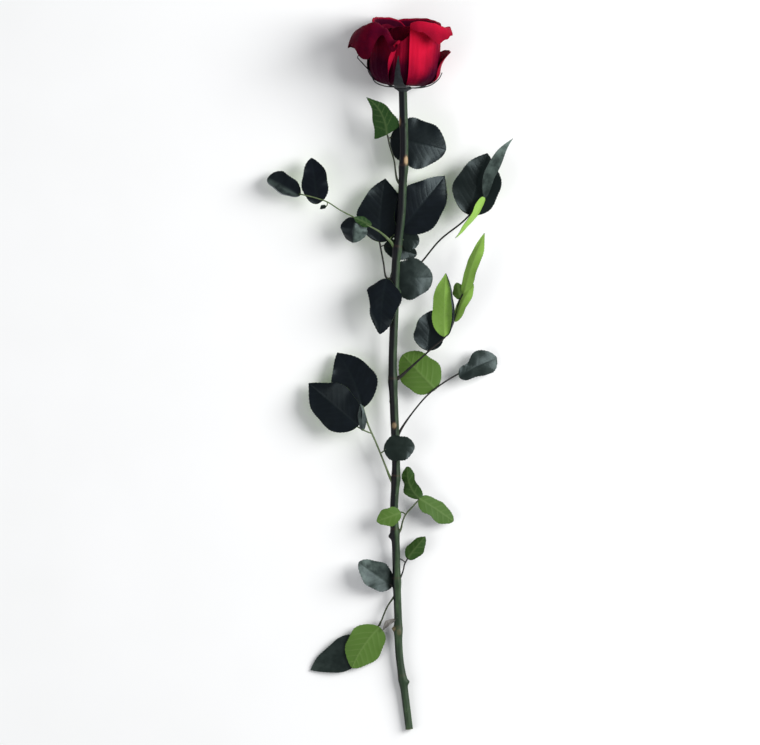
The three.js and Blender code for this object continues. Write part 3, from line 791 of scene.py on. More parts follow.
def waves(kinds: Waves, v: Array, seed: float) -> Array:
    """Several waves across a petal, added up."""
    return sum(height * np.sin(turns * v + drift * seed) for turns, height, drift in kinds)


def bow_of(u: Array) -> Array:
    """An even bow: 0 at both ends of a length and 1 in its middle."""
    return 4 * u * (1 - u)


# ---------------------------------------------------------------- the bloom


@dataclass
class Petal:
    """One petal: a bowl that rises from the calyx and rolls over at its rim.

    Attributes:
        around: direction round the bloom in degrees, 0 straight up and positive to the right.
        spread: degrees to each side.
        taper: share of the spread that is lost towards the root.
        radius: of the bowl, in millimetres.
        rim: place across (-1 to 1), crest height, radius of the roll and degrees of roll.
        shade: 0 for a bright petal and 1 for a deep one; partly its own deep red, partly painted shade.
        flutter: how far the rim waves, in millimetres.
        seed: moves the waves and ribs along the rim.
        curl: radius in millimetres of the roll of its right side, 0 for none.
        corner: share of the height that its corners lose.
        droop: how much longer than round the rolled rim hangs down.
        painted_side_shade: how much painted shade darkens its right side, below the rolled rim.
        painted_flap_shade: how much painted shade darkens the part that hangs down; below zero it is
            painted light.
    """

    around: float
    spread: float
    taper: float
    radius: float
    rim: list[tuple[float, float, float, float]]
    shade: float = 0.2
    flutter: float = 0.5
    seed: float = 0.0
    curl: float = 0.0
    corner: float = 0.22
    droop: float = 1.0
    painted_side_shade: float = 0.0
    painted_flap_shade: float = 0.0

    def angle(self, u: Array, v: Array | float) -> Array:
        """Angle round the axis in radians; a petal narrows towards its root."""
        narrowed = 1 - self.taper * np.maximum(0, 1 - u / 0.75)
        return np.radians(self.around + self.spread * v * narrowed)

    def depth(self, u: Array, v: Array) -> Array:
        """How deep its red is, with painted shade and painted light.

        Args:
            u: places from root (0) to rim (1).
            v: places across, -1 to 1.

        Returns:
            0 for bright and 1 for deep at each place.
        """
        below_rim = np.clip((0.74 - u) / 0.1, 0, 1)
        # painted shade darkens the right side below the rim, the root and a hanging flap; a negative
        # painted_flap_shade paints light on the rim
        shaded_side = self.painted_side_shade * below_rim * np.clip((v + 0.5) / 0.8, 0, 1)
        shaded_root = 0.65 * np.clip((0.56 - u) / 0.4, 0, 1)
        shaded_or_lit_tip = self.painted_flap_shade * np.clip((u - 0.8) / 0.14, 0, 1)
        # a side that rolls back catches the light
        to_curl = -0.3 * np.clip((v - 0.62) / 0.3, 0, 1) if self.curl else 0.0
        return self.shade + shaded_side + shaded_root + shaded_or_lit_tip + to_curl


@dataclass
class BloomFrame:
    """Where the bloom stands and how its petals rise.

    Attributes:
        foot: the foot of the bloom in millimetres.
        axis: direction of growth.
        height: reference height of the petals.
        shoulder: share of the height where the bowl has its full radius.
        root_radius: where the petals start.
        root_height: height of that start.
        rise_shape: how late a petal rises from the floor of the bowl.
        roll_share: share of a petal's length that rolls over.
        table: lowest height of a petal's middle surface over the table.
        softness: how gently the petals give way to the table, in millimetres.
    """

    foot: tuple[float, float, float] = (9.6, 213, 28.4)
    axis: tuple[float, float, float] = (0.05, 1, 0)
    height: float = 50
    shoulder: float = 0.35
    root_radius: float = 3
    root_height: float = 2
    rise_shape: float = 1.7
    roll_share: float = 0.32
    table: float = 0.1
    softness: float = 1.2

    def point(self, around: Array, radius: Array, height: Array) -> Array:
        """A point from its angle round the axis, its radius and its height.

        Args:
            around: angle in radians, 0 straight up and positive to the right.
            radius: distance from the axis in millimetres.
            height: distance along the axis in millimetres.

        Returns:
            One point for each angle.
        """
        axis = np.array(self.axis, float)
        axis /= np.linalg.norm(axis)
        right = np.cross(axis, UP)
        return (
            np.array(self.foot)
            + np.outer(height, axis)
            + np.outer(radius * np.cos(around), UP)
            + np.outer(radius * np.sin(around), right)
        )

    def pressed(self, points: Array) -> Array:
        """The points after the table has pressed the lowest ones flat."""
        over = points[:, 2] - self.table
        points[:, 2] = self.table + (over + np.hypot(over, self.softness)) / 2
        return points

    def edge(self, petal: Petal, v: Array) -> tuple[Array, Array, Array]:
        """Crest height, roll radius and degrees of roll of the rim across a petal.

        Args:
            petal: the petal.
            v: places across, -1 to 1.

        Returns:
            The three values at each place, eased from one given place to the next.
        """
        rim = np.array(petal.rim, float)
        k = np.clip(np.searchsorted(rim[:, 0], v) - 1, 0, len(rim) - 2)
        share = np.clip((v - rim[k, 0]) / (rim[k + 1, 0] - rim[k, 0]), 0, 1)
        share = (share * share * (3 - 2 * share))[:, None]
        return (rim[k, 1:] * (1 - share) + rim[k + 1, 1:] * share).T

    def curled(
        self, petal: Petal, u: Array, v: Array, angle: Array, reach: Array
    ) -> tuple[Array, Array]:
        """Roll the right side of a petal back towards the viewer.

        Args:
            petal: the petal.
            u: places from root (0) to rim (1).
            v: places across, -1 to 1.
            angle: angle of each place round the axis before the roll.
            reach: its distance from the axis before the roll.

        Returns:
            Angle and distance after it.
        """
        zone = CURL_SWEEP * petal.curl / (math.radians(petal.spread) * petal.radius)
        into = np.clip((v - 1 + zone) / max(zone, TINY), 0, 1)
        grown = np.clip((u - 0.12) / 0.5, 0, 1)
        strength = grown**2 * (3 - 2 * grown) * (petal.curl > 0) * (into > 0)
        start = petal.angle(u, 1 - zone)
        rolled = start + petal.curl * np.sin(CURL_SWEEP * into) / petal.radius
        back = petal.curl * (1 - np.cos(CURL_SWEEP * into))
        return angle + (rolled - angle) * strength, reach + strength * back

    def petal(self, petal: Petal, u: Array, v: Array) -> Array:
        """Points of a petal's middle surface.

        Args:
            petal: the petal.
            u: places from root (0) to rim (1).
            v: places across, -1 to 1.

        Returns:
            One point in millimetres for each place.
        """
        crest, roll_radius, roll = self.edge(petal, v)
        sweep = np.radians(roll)
        bowl_top = crest - roll_radius * np.sin(np.minimum(sweep, math.pi / 2))
        corner = 1 - petal.corner * np.abs(v) ** 6
        rising = np.minimum(1, u / (1 - self.roll_share))
        rolled = np.maximum(0, u - 1 + self.roll_share) / self.roll_share
        wave = waves(RIM_WAVES, v, petal.seed) * petal.flutter * u**4
        turn = sweep * corner * rolled * (1 + 0.05 * wave)
        height = self.root_height + (bowl_top * corner - self.root_height) * rising**self.rise_shape
        full = (height - self.root_height * (1 - rising)) / self.height / self.shoulder
        bowl = (1 - (1 - np.clip(full, 0, 1)) ** 2.4) ** 0.35
        reach = self.root_radius * (1 - bowl) + petal.radius * bowl
        # the folds are deepest half way up
        fold = waves(FOLDS, v, petal.seed) * np.sin(math.pi * np.clip(u * 1.1, 0, 1))
        reach = reach + fold * np.minimum(1, reach / 15)
        angle, reach = self.curled(petal, u, v, petal.angle(u, v), reach)
        outward = reach + roll_radius * (1 - np.cos(turn)) + 0.35 * wave
        lift = np.sin(turn) - (petal.droop - 1) * np.where(turn > math.pi / 2, 1 - np.sin(turn), 0)
        upward = height + roll_radius * lift + 0.45 * wave
        return self.pressed(self.point(angle, outward, upward))


@dataclass
class Bloom:
    """The flower head: outer petals placed one by one, inner petals on a spiral.

    Attributes:
        frame: where the bloom stands.
        thickness: of a petal in millimetres.
        outer: the outer petals, front ones first.
        inner_count: how many inner petals there are.
        first_around: direction of the first of them in degrees.
        golden_angle: degrees from each to the next.
        inner_radius: radius of the first and the last.
        inner_height: their heights.
        inner_spread: their spreads.
        inner_roll: degrees that their rims roll.
    """

    frame: BloomFrame = field(default_factory=BloomFrame)
    thickness: float = 0.5
    outer: list[Petal] = field(
        default_factory=lambda: [
            Petal(
                -54, 62, 0.85, 25.5,
                [(-1, 36, 8, 150), (-0.8, 40, 8.5, 158), (-0.45, 43, 8.8, 162), (-0.1, 46, 8.2, 186),
                 (0.13, 48, 7, 218), (0.36, 44, 4.2, 150), (0.62, 35.5, 4.2, 175), (1, 40, 3.4, 150)],
                0.74, 0.8, 0.4, 4.2, droop=2.3, painted_flap_shade=0.08,
            ),
            Petal(
                52, 45, 0.04, 26.2,
                [(-1, 50.5, 4, 150), (-0.75, 51, 5.2, 162), (-0.27, 49.4, 6.2, 172),
                 (0, 47.6, 6.8, 152), (0.3, 46.5, 7, 135), (0.7, 47.5, 6, 110), (1, 48.5, 6, 90)],
                0.05, 0.45, 2.2, corner=0.04, droop=2.6, painted_side_shade=0.6, painted_flap_shade=0.4,
            ),
            Petal(
                -8, 33, 0.1, 23.4,
                [(-1, 33, 2, 30), (0, 35, 2, 30), (0.6, 40.5, 2, 30), (1, 43, 2, 30)], 0.6, 0.3, 1.0,
            ),
            Petal(-92, 44, 0.1, 24.2, [(-1, 30, 4, 20), (1, 34, 4, 20)], 0.9, 0.4, 3.0),
            Petal(
                118, 46, 0.2, 27.7, [(-1, 27, 22, 44), (0, 30, 22, 48), (1, 27, 16, 45)], 0.6, 0.7, 4,
            ),
            Petal(178, 52, 0.2, 29.2, [(-1, 40, 6, 60), (0, 43, 6, 40), (1, 39, 6, 60)], 0.6, 0.3, 5.0),
            # the back petals are deepened below their rims by painted shade, and their negative
            # painted_flap_shade paints light on the rims
            Petal(
                -140, 50, 0.2, 27.4, [(-1, 44, 7, 60), (0, 45, 8, 80), (1, 42, 6, 60)],
                0.9, 0.4, 0.9, painted_flap_shade=-0.35,
            ),
            Petal(
                158, 58, 0.1, 24.8, [(-1, 51.5, 4.5, 80), (0, 52.5, 5, 70), (1, 51, 4, 60)],
                0.95, 0.6, 1.6, painted_flap_shade=-0.45,
            ),
            Petal(
                -128, 58, 0.1, 23, [(-1, 51.5, 4, 50), (0, 52, 4, 60), (1, 52, 4, 70)],
                0.95, 0.6, 2.8, painted_flap_shade=-0.45,
            ),
        ]
    )
    inner_count: int = 9
    first_around: float = 95
    golden_angle: float = 137.5
    inner_radius: tuple[float, float] = (20.6, 5)
    inner_height: tuple[float, float] = (47, 41)
    inner_spread: tuple[float, float] = (68, 120)
    inner_roll: tuple[float, float] = (40, 10)

    def spiral(self) -> list[Petal]:
        """Work out the inner petals.

        Returns:
            The petals, each a golden angle on from the last and tighter.
        """
        petals = []
        for k in range(self.inner_count):
            share = k / (self.inner_count - 1)
            inward = lambda pair, power=1.0: pair[0] + (pair[1] - pair[0]) * share**power
            height = inward(self.inner_height, 1.5)
            roll = inward(self.inner_roll)
            rim = [(v, height - 3 * abs(v), 3, roll) for v in (-1, 0, 1)]
            around = self.first_around + k * self.golden_angle
            spread, radius = inward(self.inner_spread), inward(self.inner_radius)
            # the inner petals are deeper the further in: their own deep red with painted shade of the
            # cavity
            petals.append(Petal(around, spread, 0.1, radius, rim, 0.75 + 0.2 * share, 0.8, 1.3 * k))
        return petals

    def petal(self, name: str, petal: Petal, along: int, across: int) -> Piece:
        """Build one petal.

        Args:
            name: name of the piece.
            petal: its sizes.
            along: faces from root to rim.
            across: faces from side to side.

        Returns:
            The petal.
        """
        surface = partial(self.frame.petal, petal)
        piece, u, v = sheet(name, surface, along, across, self.thickness)
        carry(piece, "shade", petal.depth(u, v))
        carry(piece, "up", u)
        carry(piece, "side", v)
        return piece

    def build(self, finish: Material) -> list[Piece]:
        """Build all petals.

        Args:
            finish: the petals' material.

        Returns:
            The outer and the inner petals.
        """
        outer = [self.petal(f"outer_{k}", p, 72, 56) for k, p in enumerate(self.outer)]
        inner = [self.petal(f"inner_{k}", p, 48, 44) for k, p in enumerate(self.spiral())]
        return [
            dress(join(outer, "outer_petals"), finish, 80, "bloom"),
            dress(join(inner, "inner_petals"), finish, 80),
        ]


# ---------------------------------------------------------------- the calyx


@dataclass
class Sepal:
    """One sepal.

    Attributes:
        around: direction round the bloom in degrees.
        half: half width at its root in millimetres.
        path: radius and height pairs from the hip to the tip.
    """

    around: float
    half: float
    path: list[tuple[float, float]]


@dataclass
class Calyx:
    """The hip under the bloom and its five sepals.

    Attributes:
        frame: where the bloom stands.
        hip: radius and height pairs of the hip's profile.
        sepals: the sepals.
        thickness: of a sepal in millimetres.
        rib_depth: share of the hip's radius that its five ribs stand out.
    """

    frame: BloomFrame = field(default_factory=BloomFrame)
    hip: list[tuple[float, float]] = field(
        default_factory=lambda: [
            (3.1, -2.7), (4.4, -1.7), (6.1, -0.7), (6.6, 0.4), (5.6, 1.3), (4.2, 1.5)
        ]
    )
    sepals: list[Sepal] = field(
        default_factory=lambda: [
            Sepal(-9, 6.2, [(5, 0.4), (14, 1), (21.5, 4), (26.6, 10), (28.4, 17), (28.8, 24)]),
            Sepal(96, 2.4, [(5, 0.4), (14, 1), (21.5, 3.6), (27, 8.5), (29, 13)]),
            Sepal(142, 2.8, [(5, 0.4), (14, 0.4), (23, 1.6), (30, 4.5), (34, 9)]),
            Sepal(205, 2.8, [(5, 0.4), (14, 0.4), (22, 1.4), (27.5, 3.5), (29.5, 8)]),
            Sepal(
                272, 1.6,
                [(5, 0.4), (14, 0.9), (20.9, 3.6), (25.6, 11.5), (31, 17),
                 (35.1, 21.4), (34, 22.8), (30, 21.4), (26.2, 20)],
            ),
        ]
    )
    thickness: float = 0.6
    rib_depth: float = 0.035

    def sepal(self, name: str, sepal: Sepal) -> Piece:
        """Build one sepal, keeled along its middle and frayed at its edges.

        Args:
            name: name of the piece.
            sepal: its sizes.

        Returns:
            The sepal.
        """

        def surface(u: Array, v: Array) -> Array:
            """Points of the sepal, which tapers to its tip."""
            radius, height = spline(sepal.path, u).T
            fray = 1 + 0.06 * np.sin(23 * u + 2 * v)
            width = (sepal.half * (1 - u**0.9) + 0.3) * fray
            angle = math.radians(sepal.around) + v * width / radius
            keel = 0.5 * (1 - np.abs(v)) * (1 - u)
            return self.frame.pressed(self.frame.point(angle, radius + keel, height - 0.3 * keel))

        piece, _, _ = sheet(name, surface, 60, 12, self.thickness)
        return piece

    def base(self) -> Piece:
        """Build the swollen hip, ribbed where the sepals join it.

        Returns:
            The hip.
        """
        piece, flat, wall = ringed_cylinder("hip", 144, 20)
        angle = np.arctan2(flat[:, 1], flat[:, 0])
        profile = spline(self.hip, flat[:, 2] + 0.5)
        rib = 1 + self.rib_depth * np.cos(5 * angle)
        radius = np.where(wall, profile[:, 0] * rib, 0)
        move_to(piece, self.frame.point(angle, radius, profile[:, 1]) * MM)
        select([piece])
        bpy.ops.object.mode_set(mode="EDIT")
        bpy.ops.mesh.select_all(action="SELECT")
        bpy.ops.mesh.normals_make_consistent(inside=False)
        bpy.ops.object.mode_set(mode="OBJECT")
        return piece

    def build(self, finish: Material) -> Piece:
        """Build the calyx.

        Args:
            finish: the sepals' material.

        Returns:
            The calyx as one piece.
        """
        blades = [self.sepal(f"sepal_{k}", sepal) for k, sepal in enumerate(self.sepals)]
        piece = join([self.base(), *blades], "calyx_green")
        return dress(piece, finish, 70, "calyx")


# ---------------------------------------------------------------- the leaves


@dataclass
class Leaflet:
    """One leaflet.

    Attributes:
        base: where it meets its stalk, in millimetres.
        tip: its far end.
        width: greatest width.
        roll: degrees about its length, 0 with the dark face up and 180 with the pale one up.
        fold: degrees that both halves are lifted in a V.
        arch: how far the midrib bows out of the blade, in millimetres.
        bend: how far it bows in the blade's plane.
        twist: degrees from base to tip.
        ripple: how far the edges wave.
        point: 0 for a round tip and 1 for a drawn-out one.
        tint: 0 for a blue-black upper and a light lower face, 1 for a greener upper and a deeper lower
            one; the deeper lower face is partly painted shade.
        widest: share of the length where it is widest.
        belly: how full its sides are between there and the tip.
        waist: share of the width that is lost at a waist.
        waist_at: share of the length where the waist lies.
        corner: share of the width that its right side loses beyond a corner near its base.
        curl_left: degrees that the outer part of its left side rolls up, seen from the base.
        curl_right: the same for its right side.
        wax: 0 for a dark upper face and 1 for one paled by painted sheen.
        painted_sheen_left: the same painted sheen, on its left side alone.
        quilt: how deep its veins are sunk, in millimetres.
    """

    base: tuple[float, float, float]
    tip: tuple[float, float, float]
    width: float
    roll: float
    fold: float
    ripple: float
    point: float
    arch: float = 0.0
    bend: float = 0.0
    twist: float = 0.0
    tint: float = 0.2
    widest: float = 0.44
    belly: float = 1.9
    waist: float = 0.0
    waist_at: float = 0.5
    corner: float = 0.0
    curl_left: float = 0.0
    curl_right: float = 0.0
    wax: float = 0.0
    painted_sheen_left: float = 0.0
    quilt: float = 0.09

    @property
    def length(self) -> float:
        """Distance from base to tip in millimetres."""
        return math.dist(self.base, self.tip)

    def half_outline(self, u: Array) -> Array:
        """Half width along the leaflet as a share of the greatest half width."""
        before = (self.widest - np.minimum(u, self.widest)) / self.widest
        near = np.sqrt(np.clip(1 - before**2, 0, 1))
        beyond = np.clip((u - self.widest) / (1 - self.widest), 0, 1)
        far = (1 - beyond**self.belly) ** (0.55 + 0.6 * self.point)
        pinch = 1 - self.waist * hill(u - self.waist_at, 0.16)
        return pinch * np.where(u < self.widest, near, far)

    def teeth(self, u: Array, v: Array) -> Array:
        """Forward-leaning saw teeth along the edges, which fade at both ends."""
        saw = (u * max(5, round(self.length / TOOTH_MM)) + 0.25 * np.sin(11 * u)) % 1.0
        edge = np.clip((np.abs(v) - 0.85) / 0.15, 0, 1)
        height = (0.95 * saw**0.8 - 0.35) * min(0.6, 0.03 * self.width) * edge
        return height * np.clip(u / 0.12, 0, 1) * np.clip((1.02 - u) / 0.08, 0, 1)

    def half_width(self, u: Array, v: Array) -> Array:
        """Half width in millimetres with its teeth and unevenness."""
        uneven = (0.2 + 0.025 * self.width) * np.sin(11 * u + np.where(v > 0, 0.0, 2.4) + self.length)
        beyond = np.clip((u - 0.24) / 0.3, 0, 1)
        trimmed = np.where(v > 0, 1.0, 1 + self.corner * (0.3 * hill(u - 0.22, 0.06) - beyond))
        even = self.width / 2 * self.half_outline(u) * trimmed
        return np.maximum(0.3, even + self.teeth(u, v) + uneven * bow_of(u))

    def section(self, u: Array, v: Array) -> tuple[Array, Array]:
        """Distance of each place from the midrib, along the blade and out of it, before the fold.

        Args:
            u: places from base (0) to tip (1).
            v: places across, -1 to 1.

        Returns:
            Both distances in millimetres.
        """
        half = self.half_width(u, v)
        # the inner part of a side is flat, the outer part may roll up
        flat = np.minimum(np.abs(v), 0.5)
        rolled = np.abs(v) - flat
        sweep = 2 * rolled * np.radians(np.where(v > 0, self.curl_left, self.curl_right))
        sweep = np.where(np.abs(sweep) < TINY, TINY, sweep)
        reach = half * (flat + rolled * np.sin(sweep) / sweep)
        return reach, half * rolled * (1 - np.cos(sweep)) / sweep

    def surface(self, u: Array, v: Array) -> Array:
        """Points of the smooth middle surface.

        Args:
            u: places from base (0) to tip (1).
            v: places across, -1 to 1.

        Returns:
            One point in millimetres for each place.
        """
        along = (np.array(self.tip) - self.base) / self.length
        flat_side = np.cross(UP, along)
        flat_side /= np.linalg.norm(flat_side)
        flat_up = np.cross(along, flat_side)
        turn = np.radians(self.roll + self.twist * (u - 0.5))[:, None]
        side = flat_side * np.cos(turn) + flat_up * np.sin(turn)
        up = flat_up * np.cos(turn) - flat_side * np.sin(turn)
        reach, rise = self.section(u, v)
        lift = math.radians(self.fold)
        # a slow wave and a quick one ripple the edges
        wave = self.ripple * v**2 * np.sin(9 * u + np.where(v > 0, 1, 3))
        wave += 0.25 * self.ripple * np.abs(v) ** 3 * np.sin(27 * u + np.where(v > 0, 0.4, 2.2))
        bow = bow_of(u)
        sideways = np.sign(v) * (reach * math.cos(lift) - rise * math.sin(lift)) + self.bend * bow
        upward = reach * math.sin(lift) + rise * math.cos(lift) + self.arch * bow + wave
        middle = self.base + np.outer(self.length * u, along)
        return middle + side * sideways[:, None] + up * upward[:, None]

    def veins(self, u: Array, v: Array) -> Array:
        """How much of a vein lies at each place, 0 to 1.

        Args:
            u: places from base (0) to tip (1).
            v: places across, -1 to 1.

        Returns:
            1 on the midrib and the side veins, fading to 0 between them.
        """
        half = np.maximum(0.4, self.width / 2 * self.half_outline(u))
        across = np.abs(v) * half
        midrib = hill(across, 0.35 + 0.5 * (1 - u))
        pairs = max(4, round(self.length / VEIN_MM))
        # side veins leave the midrib at about 50 degrees and curve towards the tip
        lean = (across * 0.75 + 0.012 * across**2) / self.length
        phase = (u - lean) * pairs + np.where(v > 0, 0.0, 0.45)
        nearest = np.abs(phase - np.round(phase)) / pairs * self.length
        side = hill(nearest, 0.42) * np.clip((phase - 0.2) * 2, 0, 1) * (1 - 0.75 * np.abs(v) ** 3)
        return np.clip(np.maximum(midrib, 0.8 * side), 0, 1)

    def build(self, name: str, thickness: float) -> Piece:
        """Build the leaflet with quilted veins.

        Args:
            name: name of the piece.
            thickness: of the blade in millimetres.

        Returns:
            The leaflet.
        """
        along = max(40, min(120, round(self.length / FACE_MM)))
        across = max(12, min(40, 2 * round(self.width / 1.8)))

        def quilted(u: Array, v: Array) -> Array:
            """Points of the blade with its veins sunk into it."""
            flat = self.surface(u, v)
            sunk = self.veins(u, v) * self.quilt * min(1, self.width / 16)
            return flat - normals_of(self.surface, u, v) * sunk[:, None]

        piece, u, v = sheet(name, quilted, along, across, thickness)
        # painted sheen pales the upper face, more towards the tip and on its left side
        sheen_on_left = self.painted_sheen_left * np.clip((v + 0.05) / 0.25, 0, 1)
        carry(piece, "under", np.repeat([0.0, 1.0], len(u) // 2))
        carry(piece, "tint", np.full(len(u), self.tint))
        carry(piece, "wax", self.wax * (0.25 + 0.9 * u**2) + sheen_on_left)
        carry(piece, "vein", self.veins(u, v))
        return piece


@dataclass
class CompoundLeaf:
    """A leaf of several leaflets on a branched stalk.

    Attributes:
        name: name of the node that it stands for.
        slot: the record's material slot; not used.
        stalk_radius: radius at the cane and beyond.
        rachis: route of the main stalk from inside the cane.
        stalks: routes of the short side stalks.
        leaflets: the leaflets.
        stalk_tint: 0 for a pale green stalk and 1 for a dark one.
        blade: thickness of the leaflets.
        foot: how much thicker the stalk is where it leaves the cane.
    """

    name: str
    slot: Slot
    stalk_radius: tuple[float, float]
    rachis: Route
    stalks: list[Route]
    leaflets: list[Leaflet]
    stalk_tint: float = 1.0
    blade: float = 0.4
    foot: float = 0.8

    def build_stalks(self, finish: Material) -> Piece:
        """Build the main stalk and its side stalks as one piece.

        Args:
            finish: the stalks' material.

        Returns:
            The stalks.
        """
        thick, thin = self.stalk_radius

        def main_radius(t: Array, angle: Array) -> Array:
            """Radius of the main stalk, grooved along its top."""
            groove = 1 - 0.1 * hill(angle, 0.5)
            plain = thick + (thin - thick) * np.minimum(1, 3 * t)
            return (plain + self.foot * np.exp(-12 * t)) * groove

        def side_radius(t: Array, angle: Array) -> Array:
            """Radius of a side stalk."""
            return np.full(len(t), 0.85 * thin)

        steps = min(MOST_CUTS, 12 * len(self.rachis))
        pieces = [rod("main", self.rachis, main_radius, 12, steps)[0]]
        for k, route in enumerate(self.stalks):
            pieces.append(rod(f"short_{k}", route, side_radius, 10, 24)[0])
        piece = join(pieces, self.name + "_stalks")
        carry(piece, "tint", np.full(len(piece.data.vertices), self.stalk_tint))
        return dress(piece, finish, 60)

    def build(self, blade_finish: Material, stalk_finish: Material) -> list[Piece]:
        """Build the whole leaf.

        Args:
            blade_finish: the leaflets' material.
            stalk_finish: the stalks' material.

        Returns:
            The stalks and the leaflets.
        """
        stalks = self.build_stalks(stalk_finish)
        blades = [leaflet.build(f"leaflet_{k}", self.blade) for k, leaflet in enumerate(self.leaflets)]
        blade = join(blades, self.name + "_blades")
        return [stalks, dress(blade, blade_finish, 75, self.name)]


